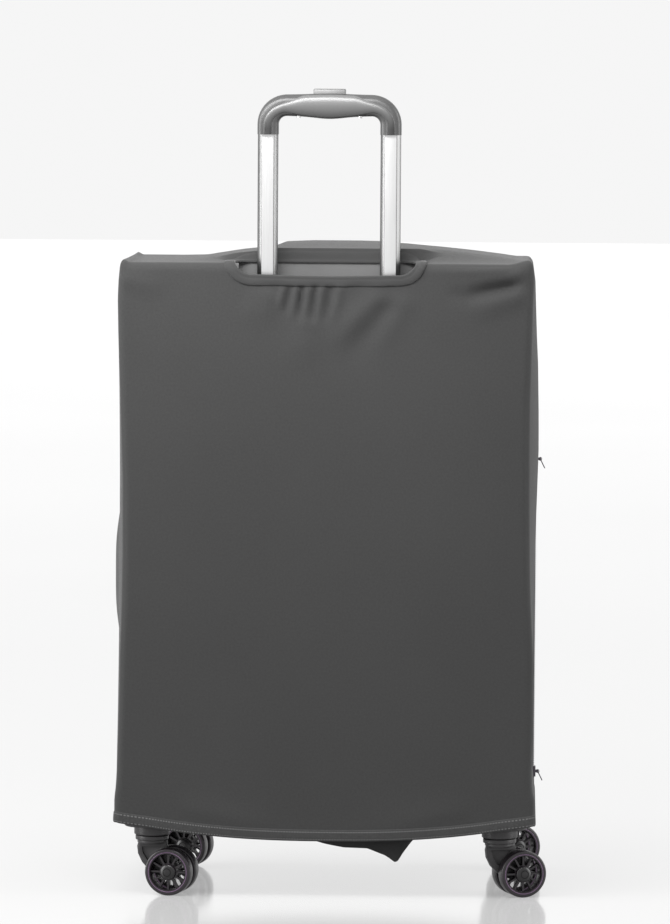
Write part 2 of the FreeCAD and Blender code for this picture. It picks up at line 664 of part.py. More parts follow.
def pin_way(name, side, low):
    """The inner glide holds the lock pin, and its rod comes in from above."""
    pin_hole = rod(name + "_pin_hole", "lock_pin_radius + lock_pin_clearance", tube_x(side),
                   ("%s - lock_pin_radius - lock_pin_stroke" % TUBE_Y,
                    "%s + inner_tube_depth" % TUBE_Y), PIN_Z)
    rod_hole = rod(name + "_rod_hole", "release_rod_radius + release_clearance", tube_x(side),
                   TUBE_Y, (PIN_Z, "%s + bush_height + cut_over" % low))
    return [pin_hole, rod_hole]


# The lower glide sits in the end of the middle tube, under the inner tube's reach.
bushes("stage_bushes", "(%s - 2 * tube_wall)" % MID_WIDTH, "(%s - 2 * tube_wall)" % MID_DEPTH,
       MID_LOW, wide_way)
bushes("handle_bushes", "inner_tube_width - 2 * tube_wall", "inner_tube_depth - 2 * tube_wall",
       INNER_LOW, pin_way)

PIN_TIP = "(%s + inner_tube_depth / 2)" % TUBE_Y
finished(fuse("lock_pins", [
    rod("lock_pin_" + word, "lock_pin_radius", tube_x(side),
        ("%s - lock_pin_length" % PIN_TIP, PIN_TIP), PIN_Z)
    for side, word in ((-1, "left"), (1, "right"))
]), "lock_pins")

# ---------------------------------------------------------------- grip and release

GRIP_HALF = "(tube_spacing / 2 + grip_leg / 2)"
GRIP_IN = "(tube_spacing / 2 - grip_leg / 2)"
GRIP_SPLIT = "(%s - grip_depth / 2 + grip_front_depth)" % TUBE_Y
CAVITY_LOW = "(%s - grip_bar + grip_wall)" % GRIP_HIGH
CAVITY_HIGH = "(%s - grip_wall)" % GRIP_HIGH
BUTTON_WAY = "(button_depth / 2 + button_clearance)"


def on_top(solid):
    """Picks the two upper edges that run through the grip."""
    top = box_of(solid).ZMax
    return lambda edge: runs_along(edge, 1) and abs(edge.CenterOfMass.z - top) < 0.01


def grip_arch(name, y, inset):
    outer = block(name + "_outer", ("-%s + %s" % (GRIP_HALF, inset), "%s - %s" % (GRIP_HALF, inset)),
                  y, (GRIP_LOW, "%s - %s" % (GRIP_HIGH, inset)))
    outer_round = rounded(name + "_outer_round", outer, size("grip_corner"), on_top(outer))
    inner = block(name + "_inner", ("-%s - %s" % (GRIP_IN, inset), "%s + %s" % (GRIP_IN, inset)),
                  y, ("%s - cut_over" % GRIP_LOW, "%s - grip_bar + %s" % (GRIP_HIGH, inset)))
    inner_round = rounded(name + "_inner_round", inner, size("grip_inner_corner"), on_top(inner))
    return cut(name + "_arch", outer_round, [inner_round])


def bar_screws(name):
    """The two screws that stand a little out of the underside of the front shell's bar."""
    under = "(%s - grip_bar + grip_front_inset)" % GRIP_HIGH
    return [rod("%s_%s" % (name, word), "screw_radius", "%d * tube_spacing / 4" % side,
                "%s - grip_depth / 2 + grip_screw_back" % TUBE_Y,
                ("%s - grip_screw_proud" % under, "%s + grip_screw_depth" % under))
            for side, word in ((-1, "left"), (1, "right"))]


def grip_ways(name):
    """What the grip leaves room for: the tubes, the bar, the rods and the button."""
    ways = []
    for side, word in ((-1, "left"), (1, "right")):
        ways.append(block(
            "%s_tube_%s" % (name, word),
            ("%s - inner_tube_width / 2" % tube_x(side), "%s + inner_tube_width / 2" % tube_x(side)),
            ("%s - inner_tube_depth / 2" % TUBE_Y, "%s + inner_tube_depth / 2" % TUBE_Y),
            ("%s - cut_over" % GRIP_LOW, INNER_HIGH)))
        ways.append(rod("%s_rod_%s" % (name, word), "release_rod_radius + release_clearance",
                        tube_x(side), TUBE_Y, (GRIP_LOW, CAVITY_LOW + " + cut_over")))
    bar_half = "(tube_spacing / 2 + release_rod_radius + release_clearance)"
    bar_y = "(button_depth / 2 + release_clearance)"
    ways.append(block(name + "_bar", ("-" + bar_half, bar_half),
                      ("%s - %s" % (TUBE_Y, bar_y), "%s + %s" % (TUBE_Y, bar_y)),
                      (CAVITY_LOW, "%s + release_clearance" % BAR_HIGH)))
    ways.append(block(name + "_button",
                      ("-button_width / 2 - button_clearance", "button_width / 2 + button_clearance"),
                      ("%s - %s" % (TUBE_Y, BUTTON_WAY), "%s + %s" % (TUBE_Y, BUTTON_WAY)),
                      (BAR_HIGH, "%s + cut_over" % GRIP_HIGH)))
    return ways


finished(cut("grip_shell_rear",
             grip_arch("rear_grip", (GRIP_SPLIT, "%s + grip_depth / 2" % TUBE_Y), "0"),
             grip_ways("rear_way")), "grip_shell_rear")
finished(cut("grip_shell_front",
             grip_arch("front_grip", ("%s - grip_depth / 2" % TUBE_Y, GRIP_SPLIT),
                       "grip_front_inset"),
             grip_ways("front_way") + bar_screws("front_screw_hole")), "grip_shell_front")

finished(fuse("grip_screws", bar_screws("grip_screw")), "grip_screws")

button = block("button_block", ("-button_width / 2", "button_width / 2"),
               ("%s - button_depth / 2" % TUBE_Y, "%s + button_depth / 2" % TUBE_Y),
               (BAR_HIGH, "%s + button_proud" % GRIP_HIGH))
button_top = box_of(button).ZMax
finished(rounded("release_button", button, 1.2,
                 lambda edge: abs(edge.CenterOfMass.z - button_top) < 0.01), "release_button")

rods = [block("release_bar", ("-tube_spacing / 2", "tube_spacing / 2"),
              ("%s - button_depth / 2" % TUBE_Y, "%s + button_depth / 2" % TUBE_Y),
              (BAR_LOW, BAR_HIGH))]
for side, word in ((-1, "left"), (1, "right")):
    rods.append(rod("release_rod_" + word, "release_rod_radius", tube_x(side), TUBE_Y,
                    ("%s + lock_pin_radius + rod_clearance + button_travel" % PIN_Z, BAR_HIGH)))
finished(fuse("release_rods", rods), "release_rods")

helix = doc.addObject("Part::Helix", "spring_path")
helix.setExpression("Radius", formula("spring_radius"))
helix.setExpression("Height", formula("%s - %s - 2 * spring_wire" % (BAR_LOW, CAVITY_LOW)))
helix.setExpression("Pitch", formula("(%s - %s - 2 * spring_wire) / 4" % (BAR_LOW, CAVITY_LOW)))
doc.recompute()
wire_ring = Part.makeCircle(size("spring_wire"), FreeCAD.Vector(size("spring_radius"), 0, 0),
                            FreeCAD.Vector(0, 1, 0))
coil = Part.Wire(helix.Shape.Edges).makePipeShell([Part.Wire([wire_ring])], True, True)
spring = doc.addObject("Part::Feature", "button_spring")
spring.Shape = coil
for axis, place in zip("xyz", ("0", TUBE_Y, "%s + spring_wire" % CAVITY_LOW)):
    spring.setExpression("Placement.Base." + axis, formula(place))
finished(spring, "button_spring")

# ---------------------------------------------------------------- carry handles

ANCHOR_IN = "(carry_length / 2 - carry_anchor)"
HANDLE_RISE = "(carry_gap + carry_thickness)"

top_bar = block("top_bar", ("-carry_length / 2", "carry_length / 2"),
                ("-carry_width / 2", "carry_width / 2"),
                (TOP, "%s + %s" % (TOP, HANDLE_RISE)))
top_gap = block("top_gap", ("-%s" % ANCHOR_IN, ANCHOR_IN), ("-carry_width", "carry_width"),
                ("%s - cut_over" % TOP, "%s + carry_gap" % TOP))
top_anchor_room = [
    block("top_anchor_room_%d" % number, (low, high),
          ("-carry_width / 2 + anchor_recess", "carry_width / 2 - anchor_recess"),
          (TOP, "%s + anchor_thickness" % TOP))
    for number, (low, high) in enumerate([
        ("-carry_length / 2 - cut_over", "-%s" % ANCHOR_IN), (ANCHOR_IN, "carry_length / 2 + cut_over")])
]
top_round = rounded("top_bar_round", top_bar, size("carry_thickness") * 0.8, on_top(top_bar))
finished(cut("top_carry_handle", top_round, [top_gap] + top_anchor_room), "top_carry_handle")

SIDE_MID = "(case_bottom + side_handle_height)"
side_bar = block("side_bar", ("-%s - %s" % (SIDE, HANDLE_RISE), "-%s" % SIDE),
                 ("-carry_width / 2", "carry_width / 2"),
                 ("%s - carry_length / 2" % SIDE_MID, "%s + carry_length / 2" % SIDE_MID))
side_gap = block("side_gap", ("-%s - carry_gap" % SIDE, "-%s + cut_over" % SIDE),
                 ("-carry_width", "carry_width"),
                 ("%s - %s" % (SIDE_MID, ANCHOR_IN), "%s + %s" % (SIDE_MID, ANCHOR_IN)))
side_anchor_room = [
    block("side_anchor_room_%d" % number, ("-%s - anchor_thickness" % SIDE, "-%s" % SIDE),
          ("-carry_width / 2 + anchor_recess", "carry_width / 2 - anchor_recess"), (low, high))
    for number, (low, high) in enumerate([
        ("%s - carry_length / 2 - cut_over" % SIDE_MID, "%s - %s" % (SIDE_MID, ANCHOR_IN)),
        ("%s + %s" % (SIDE_MID, ANCHOR_IN), "%s + carry_length / 2 + cut_over" % SIDE_MID)])
]
side_out = box_of(side_bar).XMin
side_round = rounded(
    "side_bar_round", side_bar, size("carry_thickness") * 0.8,
    lambda edge: runs_along(edge, 1) and abs(edge.CenterOfMass.x - side_out) < 0.01)
finished(cut("side_carry_handle", side_round, [side_gap] + side_anchor_room),
         "side_carry_handle")

anchors = []
for number, (low, high) in enumerate([
        ("-carry_length / 2 + anchor_margin", "-%s - anchor_margin" % ANCHOR_IN),
        ("%s + anchor_margin" % ANCHOR_IN, "carry_length / 2 - anchor_margin")]):
    anchors.append(block("top_anchor_%d" % number, (low, high),
                         ("-carry_width / 2 + anchor_side", "carry_width / 2 - anchor_side"),
                         (TOP, "%s + anchor_thickness - anchor_clearance" % TOP)))
    anchors.append(block("side_anchor_%d" % number,
                         ("-%s - anchor_thickness + anchor_clearance" % SIDE, "-%s" % SIDE),
                         ("-carry_width / 2 + anchor_side", "carry_width / 2 - anchor_side"),
                         ("%s + %s" % (SIDE_MID, low), "%s + %s" % (SIDE_MID, high))))
finished(fuse("handle_anchors", anchors), "handle_anchors")

# ---------------------------------------------------------------- casters

# Name, swivel across and along, and the way each caster happens to stand, in degrees.
CORNERS = [
    ("back_left", "-swivel_x", "-swivel_y", -13),
    ("back_right", "swivel_x", "-swivel_y", 19),
    ("front_left", "-front_swivel_x", "swivel_y", -14),
    ("front_right", "front_swivel_x", "swivel_y", 24),
]
PIN_TOP = "(case_bottom - pin_gap)"


def span(sign, near, far):
    """A pair of expressions from near to far, on the given side of the middle."""
    return (near, far) if sign > 0 else ("-(%s)" % far, "-(%s)" % near)


def sign_of(place):
    return -1 if place.startswith("-") else 1


def housing(word, x, y):
    """The corner guard under the case, its round collar and the swivel's bore."""
    guard = block("guard_" + word,
                  span(sign_of(x), "%s - housing_inset" % x.lstrip("-"),
                       "%s + housing_proud" % SIDE),
                  span(sign_of(y), "swivel_y - housing_inset", "case_depth / 2 + housing_proud"),
                  ("case_bottom - housing_height", "case_bottom"))
    bounds = box_of(guard)
    corner_x = bounds.XMax if sign_of(x) > 0 else bounds.XMin
    corner_y = bounds.YMax if sign_of(y) > 0 else bounds.YMin

    def outer_corner(edge):
        here = edge.CenterOfMass
        at_corner = abs(here.x - corner_x) < 0.01 and abs(here.y - corner_y) < 0.01
        return runs_along(edge, 2) and at_corner

    guard_round = rounded("guard_round_" + word, guard, size("housing_corner"), outer_corner)
    collar = rod("collar_" + word, "collar_radius", x, y, ("collar_bottom", PIN_TOP))
    bore = rod("bore_" + word, "fork_pin_radius + swivel_clearance", x, y,
               ("collar_bottom - cut_over", PIN_TOP))
    solid = cut("caster_housing_" + word, fuse("housing_" + word, [guard_round, collar]), [bore])
    return finished(solid, "caster_housing_" + word)


def swivel_point(x, y):
    return FreeCAD.Vector(sign_of(x) * size(x.lstrip("-")), sign_of(y) * size(y.lstrip("-")), 0)


def swing(local, x, y, heading):
    """Turn a body that was drawn about its swivel, and set it under its corner."""
    turn = FreeCAD.Rotation(FreeCAD.Vector(0, 0, 1), heading)
    local.Placement = FreeCAD.Placement(swivel_point(x, y), turn)


def fork(word, x, y, heading):
    """The swivel pin, its disc and the horn that comes down between the wheels."""
    body = new_body("caster_fork_" + word)
    side = new_sketch(body, "fork_side_" + word, "XZ_Plane")
    disc_low = "(collar_bottom - swivel_clearance - fork_disc_height)"
    outline(side, [
        ("-fork_disc_radius + fork_heel", disc_low + " + cut_over"),
        ("-fork_disc_radius + fork_waist", disc_low + " - fork_waist"),
        ("-fork_disc_radius / 3", "wheel_radius + fork_knee"),
        ("trail - fork_boss_radius", "wheel_radius - cut_over"),
        ("trail + fork_boss_radius", "wheel_radius - cut_over"),
        ("trail + fork_boss_radius + cut_over", "wheel_radius + fork_knee"),
        ("fork_disc_radius - fork_toe", disc_low + " + cut_over"),
    ])
    pad(body, "fork_horn_" + word, side, "wheel_pair_gap - 2 * fork_clearance", midplane=True)
    boss = new_sketch(body, "fork_boss_sketch_" + word, "XZ_Plane")
    circle(boss, "fork_boss_radius", "trail", "wheel_radius")
    pad(body, "fork_boss_" + word, boss, "wheel_pair_gap - 2 * fork_clearance", midplane=True)
    disc = new_sketch(body, "fork_disc_sketch_" + word, "XY_Plane", disc_low)
    circle(disc, "fork_disc_radius")
    pad(body, "fork_disc_" + word, disc, "fork_disc_height")
    pin = new_sketch(body, "fork_pin_sketch_" + word, "XY_Plane",
                     "collar_bottom - swivel_clearance")
    circle(pin, "fork_pin_radius")
    pad(body, "fork_pin_" + word, pin, "%s - collar_bottom" % PIN_TOP)
    bore = new_sketch(body, "fork_bore_sketch_" + word, "XZ_Plane")
    circle(bore, "axle_radius", "trail", "wheel_radius")
    pocket(body, "fork_bore_" + word, bore)
    swing(body, x, y, heading)
    return body


def axle(word, x, y, heading):
    """A steel axle with a riveted head at each end, drawn along its caster's Y."""
    body = new_body("caster_axle_" + word)
    reach = "(wheel_pair_gap / 2 + wheel_width + fork_clearance)"
    shank = new_sketch(body, "axle_shank_sketch_" + word, "XZ_Plane")
    circle(shank, "axle_radius", "trail", "wheel_radius")
    pad(body, "axle_shank_" + word, shank, "2 * " + reach, midplane=True)
    for turned, offset in (("near", "0"), ("far", "-2 * %s - axle_head_height" % reach)):
        head = new_sketch(body, "axle_head_sketch_%s_%s" % (turned, word), "XZ_Plane",
                          "%s + %s" % (reach, offset))
        circle(head, "axle_head", "trail", "wheel_radius")
        pad(body, "axle_head_%s_%s" % (turned, word), head, "axle_head_height")
    swing(body, x, y, heading)
    return body


def wheel(word, x, y, heading, hand, hand_word):
    """A spoked wheel, turned from its half section; its axis is its own Z."""
    label = "caster_wheel_%s_%s" % (word, hand_word)
    body = new_body(label)
    section = new_sketch(body, label + "_section", "XZ_Plane")
    outline(section, [
        ("axle_radius + axle_clearance", "-wheel_width / 2"),
        ("wheel_hub_radius", "-wheel_width / 2"),
        ("wheel_hub_radius", "-wheel_web / 2"),
        ("wheel_rim_radius", "-wheel_web / 2"),
        ("wheel_rim_radius", "-wheel_width / 2"),
        ("wheel_radius - wheel_crown", "-wheel_width / 2"),
        ("wheel_radius", "-wheel_width / 2 + wheel_crown"),
        ("wheel_radius", "wheel_width / 2 - wheel_crown"),
        ("wheel_radius - wheel_crown", "wheel_width / 2"),
        ("wheel_rim_radius", "wheel_width / 2"),
        ("wheel_rim_radius", "wheel_web / 2"),
        ("wheel_hub_radius", "wheel_web / 2"),
        ("wheel_hub_radius", "wheel_width / 2"),
        ("axle_radius + axle_clearance", "wheel_width / 2"),
    ])
    turned = body.newObject("PartDesign::Revolution", label + "_turned")
    turned.Profile = section
    turned.ReferenceAxis = (section, ["V_Axis"])
    turned.Angle = 360
    window = new_sketch(body, label + "_window", "XY_Plane")
    step = "180 / spoke_count"
    outline(window, [
        ("wheel_hub_radius + 1", "-(wheel_hub_radius + 1) * tan(%s) + spoke_width / 2" % step),
        ("wheel_rim_radius - 1", "-(wheel_rim_radius - 1) * tan(%s) + spoke_width / 2" % step),
        ("wheel_rim_radius - 1", "(wheel_rim_radius - 1) * tan(%s) - spoke_width / 2" % step),
        ("wheel_hub_radius + 1", "(wheel_hub_radius + 1) * tan(%s) - spoke_width / 2" % step),
    ])
    opening = pocket(body, label + "_opening", window)
    around = body.newObject("PartDesign::PolarPattern", label + "_openings")
    around.Originals = [opening]
    around.Axis = (window, ["N_Axis"])
    around.Angle = 360
    around.setExpression("Occurrences", formula("spoke_count"))
    body.Tip = around
    upright = FreeCAD.Rotation(FreeCAD.Vector(1, 0, 0), 90)
    turn = FreeCAD.Rotation(FreeCAD.Vector(0, 0, 1), heading)
    away = hand * (size("wheel_pair_gap") + size("wheel_width")) / 2
    local = FreeCAD.Vector(size("trail"), away, size("wheel_radius"))
    body.Placement = FreeCAD.Placement(swivel_point(x, y) + turn.multVec(local),
                                       turn.multiply(upright))
    return body


screws = []
for word, x, y, heading in CORNERS:
    housing(word, x, y)
    fork(word, x, y, heading)
    axle(word, x, y, heading)
    wheel(word, x, y, heading, -1, "outer")
    wheel(word, x, y, heading, 1, "inner")
    reach = "(collar_radius + screw_head_radius + 1)"
    low = "(case_bottom - housing_height)"
    beside = "%s - %d * %s" % (x, sign_of(x), reach)
    behind = "%s - %d * %s" % (y, sign_of(y), reach)
    for number, (across, along) in enumerate([(beside, y), (x, behind)]):
        screws.append(rod("screw_head_%s_%d" % (word, number), "screw_head_radius",
                          across, along, ("%s - screw_head_height" % low, low)))

finished(fuse("caster_screws", screws), "caster_screws")

# ---------------------------------------------------------------- fitted cover

COVER_BACK = "(-case_depth / 2 - cover_gap)"


def raised(name, turn, x, z, foot, crest):
    """A flat-topped hill on the cover, from its foot to its crest along the wedge's own Y."""
    hill = doc.addObject("Part::Wedge", name)
    hill.Placement = FreeCAD.Placement(FreeCAD.Vector(), turn)
    for axis, (near, far) in (("X", x), ("Z", z)):
        for prop, text in (("%smin", near + " - tent_spread / 2"),
                           ("%smax", far + " + tent_spread / 2"),
                           ("%s2min", near), ("%s2max", far)):
            hill.setExpression(prop % axis, formula(text))
    hill.setExpression("Ymin", formula(foot + " - tent_root"))
    hill.setExpression("Ymax", formula(crest))
    return hill


def cover_form(name, skin, low):
    """The cover's outer or inner form: the case's box with room over both handles."""
    half = "(%s + %s)" % (COVER_SIDE, skin)
    deep = "(case_depth / 2 + cover_gap + %s)" % skin
    high = "(%s + %s)" % (COVER_TOP, skin)
    solid = block(name + "_box", ("-" + half, half), ("-" + deep, deep), (low, high))
    bottom = box_of(solid).ZMin
    main = rounded(name + "_main", solid, size("cover_corner"),
                   lambda edge: abs(edge.CenterOfMass.z - bottom) > 0.01)
    reach = "(carry_length / 2 + %s)" % skin
    wide = "(carry_width / 2 + 3 + %s)" % skin
    crest = "%s + tent_rise - cover_gap + %s"
    top = raised(name + "_tent", FreeCAD.Rotation(FreeCAD.Vector(1, 0, 0), 90),
                 ("-" + reach, reach), ("-" + wide, wide), high, crest % (TOP, skin))
    left = raised(name + "_bulge", FreeCAD.Rotation(FreeCAD.Vector(0, 0, 1), 90),
                  ("-" + wide, wide),
                  ("%s - %s" % (SIDE_MID, reach), "%s + %s" % (SIDE_MID, reach)),
                  half, crest % (SIDE, skin))
    flat = "(zip_plateau + %s)" % skin
    right = raised(name + "_zip_side", FreeCAD.Rotation(FreeCAD.Vector(0, 0, 1), -90),
                   ("-" + flat, flat), (ZIP_LOW, ZIP_HIGH), half, half + " + zip_rise")
    return fuse(name, [main, top, left, right])


def slot_form(name, half, below, behind, lift):
    """The trolley opening: over the back's top edge and on to the top."""
    solid = block(name + "_block", ("-(%s)" % half, half),
                  ("%s - 10" % COVER_BACK, "%s + %s" % (COVER_BACK, behind)),
                  ("%s - (%s)" % (COVER_TOP, below), "%s + %s" % (COVER_TOP, lift)))
    return solid


slot = slot_form("slot", "slot_width / 2", "slot_on_back", "slot_on_top", "30")
finished(cut("cover", cover_form("cover_outer", "cover_cloth", "cover_hem_bottom"),
             [cover_form("cover_inner", "0", "cover_hem_bottom - cut_over"), slot]), "cover")

# The band is laid on the cover round the opening: its own thin form, cut twice.
band_out = block("band_out",
                 ("-slot_width / 2 - binding_width", "slot_width / 2 + binding_width"),
                 ("%s - cover_cloth - binding_thickness" % COVER_BACK,
                  "%s + slot_on_top + binding_width" % COVER_BACK),
                 ("%s - slot_on_back - binding_width" % COVER_TOP,
                  "%s + cover_cloth + binding_thickness" % COVER_TOP))
band_box = box_of(band_out)
band_edge = rounded(
    "band_edge", band_out, size("cover_corner"),
    lambda edge: (edge.CenterOfMass - FreeCAD.Vector(0, band_box.YMin, band_box.ZMax)).Length < 0.01)
finished(cut("cover_binding", band_edge, [
    cover_form("band_inner", "cover_cloth", "cover_hem_bottom - cut_over"),
    slot_form("band_slot", "slot_width / 2", "slot_on_back", "slot_on_top", "30"),
]), "cover_binding")


def hem_box(name, skin, low, high):
    half = "(%s + %s)" % (COVER_SIDE, skin)
    deep = "(case_depth / 2 + cover_gap + %s)" % skin
    solid = block(name, ("-" + half, half), ("-" + deep, deep), (low, high))
    return rounded(name + "_round", solid, size("cover_corner"),
                   lambda edge: runs_along(edge, 2))


finished(cut("cover_hem",
             hem_box("hem_out", "cover_cloth + hem_thickness", "cover_hem_bottom",
                     "cover_hem_bottom + hem_height"),
             [hem_box("hem_in", "cover_cloth", "cover_hem_bottom - cut_over",
                      "cover_hem_bottom + hem_height + cut_over")]), "cover_hem")

flap = new_body("cover_flap")
flap_side = new_sketch(flap, "flap_outline", "XZ_Plane")
outline(flap_side, [
    ("-flap_width * 0.18", "0"),
    ("-flap_width * 0.15", "-flap_drop * 0.35"),
    ("flap_width * 0.4", "-flap_drop * 0.62"),
    ("flap_width * 0.62", "-flap_drop"),
    ("flap_width * 0.82", "-flap_drop * 0.3"),
    ("flap_width * 0.82", "0"),
])
pad(flap, "flap_pad", flap_side, "flap_thickness")
place_body(flap, "0", "%s + 12" % COVER_BACK, "case_bottom - 10")

# ---------------------------------------------------------------- cover's side zip

CHAIN_IN = "(%s + zip_rise + 0.3)" % COVER_OUT
CHAIN_OUT = "(%s + zip_thickness)" % CHAIN_IN
finished(block("cover_zip", ("%s + zip_rise" % COVER_OUT, CHAIN_OUT), ("-zip_width / 2", "zip_width / 2"),
               (ZIP_LOW, ZIP_HIGH)), "cover_zip")
PULL_X = "(%s + slider_clearance + slider_wall + pull_eye + pull_ring + 0.4)" % CHAIN_OUT


def zip_slider(word, low):
    """A channel that rides over the teeth, with a bridge for its pull."""
    half = "(zip_width / 2 + slider_clearance + slider_wall)"
    wide = "(zip_width / 2 + slider_clearance)"
    roof = "(%s + slider_clearance)" % CHAIN_OUT
    saddle = block("saddle_" + word, (CHAIN_IN, "%s + slider_wall" % roof),
                   ("-" + half, half), (low, "%s + slider_height" % low))
    channel = block("channel_" + word, ("%s - cut_over" % CHAIN_IN, roof), ("-" + wide, wide),
                    ("%s - cut_over" % low, "%s + slider_height + cut_over" % low))
    middle = "(%s + slider_height / 2)" % low
    posts = [
        block("post_%s_%d" % (word, sign), (roof, "%s + pull_bar" % PULL_X),
              span(sign, "pull_width / 2 + 0.4", "pull_width / 2 + 1.4"),
              ("%s - 1.2" % middle, "%s + 1.2" % middle))
        for sign in (-1, 1)
    ]
    bar = rod("pull_bar_" + word, "pull_bar", PULL_X,
              ("-pull_width / 2 - 1.4", "pull_width / 2 + 1.4"), middle)
    base = cut("slider_base_" + word, saddle, [channel])
    label = "zip_slider_" + word
    return finished(fuse(label, [base] + posts + [bar]), label)


def zip_pull(word, low):
    """A flat tab with an eye; it hangs down and leans out of the slider."""
    label = "zip_pull_" + word
    body = new_body(label)
    side = new_sketch(body, label + "_outline", "XZ_Plane")
    circle(side, "pull_eye + pull_ring")
    pad(body, label + "_ring", side, "pull_width", midplane=True)
    tab = new_sketch(body, label + "_tab_outline", "XZ_Plane")
    outline(tab, [
        ("-pull_thickness / 2", "-pull_eye - 0.2"),
        ("-pull_thickness / 2", "-pull_length"),
        ("pull_thickness / 2", "-pull_length"),
        ("pull_thickness / 2", "-pull_eye - 0.2"),
    ])
    pad(body, label + "_tab", tab, "pull_width", midplane=True)
    eye = new_sketch(body, label + "_eye_outline", "XZ_Plane")
    circle(eye, "pull_eye")
    pocket(body, label + "_eye", eye)
    body.Placement = FreeCAD.Placement(
        FreeCAD.Vector(), FreeCAD.Rotation(FreeCAD.Vector(0, 1, 0), -size("pull_lean")))
    place_body(body, PULL_X, "0", "%s + slider_height / 2" % low)
    return body


for word, low in (("upper", "(%s - slider_height - 2)" % ZIP_HIGH),
                  ("lower", "(%s + 2)" % ZIP_LOW)):
    zip_slider(word, low)
    zip_pull(word, low)

# ---------------------------------------------------------------- checks and files

doc.recompute()
for thing in doc.Objects:
    if {"Invalid", "Error"} & set(thing.State):
        raise RuntimeError("failed object: " + thing.Name)
for part in nodes:
    if part.Shape.isNull() or not part.Shape.isValid() or not part.Shape.Solids:
        raise RuntimeError("bad shape: " + part.Label)

os.makedirs("parts", exist_ok=True)
for part in nodes:
    part.Shape.exportStep("parts/%s.step" % part.Label)
print(len(nodes), "sub-parts")
for part in nodes:
    box = part.Shape.BoundBox
    print("%-34s %d  x %.1f %.1f  y %.1f %.1f  z %.1f %.1f" % (
        part.Label, len(part.Shape.Solids), box.XMin, box.XMax, box.YMin, box.YMax,
        box.ZMin, box.ZMax))
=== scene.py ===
# %% [markdown]
# # A softside suitcase in a stretch cover
# The object is a medium upright suitcase that wears a fitted cover of grey stretch cloth.
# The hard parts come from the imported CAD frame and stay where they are; this lesson makes
# the cloth, the better-looking shells, the finishes, the light and the camera round them.
# Everything is in metres, +Z is up, and the trolley handle's side faces -Y.

# %% Load the frame
import json
import math

import bpy
import numpy as np
from mathutils import Matrix, Vector


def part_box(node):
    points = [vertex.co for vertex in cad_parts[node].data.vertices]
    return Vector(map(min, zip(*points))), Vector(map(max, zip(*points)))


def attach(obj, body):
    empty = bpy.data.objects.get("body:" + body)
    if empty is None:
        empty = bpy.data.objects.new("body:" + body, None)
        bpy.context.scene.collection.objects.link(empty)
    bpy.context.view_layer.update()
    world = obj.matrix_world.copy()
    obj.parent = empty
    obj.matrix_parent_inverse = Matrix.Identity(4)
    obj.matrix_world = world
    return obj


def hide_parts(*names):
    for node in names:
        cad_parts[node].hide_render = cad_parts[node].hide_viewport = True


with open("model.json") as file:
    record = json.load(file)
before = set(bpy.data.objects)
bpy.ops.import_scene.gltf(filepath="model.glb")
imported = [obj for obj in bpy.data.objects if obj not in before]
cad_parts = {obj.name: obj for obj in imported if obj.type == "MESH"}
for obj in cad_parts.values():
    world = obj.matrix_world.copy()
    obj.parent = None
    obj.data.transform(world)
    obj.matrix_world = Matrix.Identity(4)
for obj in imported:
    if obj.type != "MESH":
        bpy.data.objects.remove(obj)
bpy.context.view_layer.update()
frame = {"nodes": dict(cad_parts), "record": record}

MM = 0.001
scene = bpy.context.scene
scene.view_settings.view_transform = "Standard"


def deselect():
    """Start an operator step with nothing active and nothing selected."""
    if bpy.context.object and bpy.context.object.mode != "OBJECT":
        bpy.ops.object.mode_set(mode="OBJECT")
    bpy.ops.object.select_all(action="DESELECT")


def take(piece):
    """Select one piece alone and make it active."""
    deselect()
    piece.select_set(True)
    bpy.context.view_layer.objects.active = piece
    return piece


def settle(piece):
    """Move a piece's place and turn into its mesh, so its object sits at the origin."""
    take(piece)
    bpy.ops.object.transform_apply(location=True, rotation=True, scale=True)
    return piece


def points_of(piece):
    """The mesh's points as an array of rows."""
    flat = np.empty(len(piece.data.vertices) * 3)
    piece.data.vertices.foreach_get("co", flat)
    return flat.reshape(-1, 3)


def set_points(piece, points):
    piece.data.vertices.foreach_set("co", np.asarray(points, float).ravel())
    piece.data.update()


def finish_with(piece, kind, **settings):
    """Add one modifier, set it and apply it."""
    take(piece)
    modifier = piece.modifiers.new(kind.title(), kind)
    for name, value in settings.items():
        setattr(modifier, name, value)
    bpy.ops.object.modifier_apply(modifier=modifier.name)
    return piece


def select_where(piece, test, kind="FACE"):
    """In edit mode, select just the faces or edges whose middle passes a test."""
    take(piece)
    bpy.ops.object.mode_set(mode="EDIT")
    bpy.ops.mesh.select_mode(type=kind)
    bpy.ops.mesh.select_all(action="DESELECT")
    bpy.ops.object.mode_set(mode="OBJECT")
    mesh = piece.data
    if kind == "FACE":
        for face in mesh.polygons:
            face.select = bool(test(face.center, face.normal))
    else:
        for edge in mesh.edges:
            ends = [mesh.vertices[number].co for number in edge.vertices]
            edge.select = bool(test((ends[0] + ends[1]) / 2, (ends[1] - ends[0]).normalized()))
    bpy.ops.object.mode_set(mode="EDIT")


def leave_edit():
    bpy.ops.object.mode_set(mode="OBJECT")


def edit_all(piece):
    """Enter edit mode with the whole of one piece's mesh selected."""
    take(piece)
    bpy.ops.object.mode_set(mode="EDIT")
    bpy.ops.mesh.select_all(action="SELECT")


def face_outwards(piece):
    edit_all(piece)
    bpy.ops.mesh.normals_make_consistent(inside=False)
    leave_edit()


def bevel_all(piece, width, segments):
    """Ease every edge of a piece."""
    edit_all(piece)
    bpy.ops.mesh.bevel(offset=width, segments=segments, affect="EDGES")
    leave_edit()


def bevel_sharp(piece, width, segments=3, angle=40):
    """Ease only the edges that turn by more than an angle; the width is in mm."""
    return finish_with(piece, "BEVEL", width=width * MM, segments=segments,
                       angle_limit=math.radians(angle))


def drop(piece):
    take(piece)
    bpy.ops.object.delete()


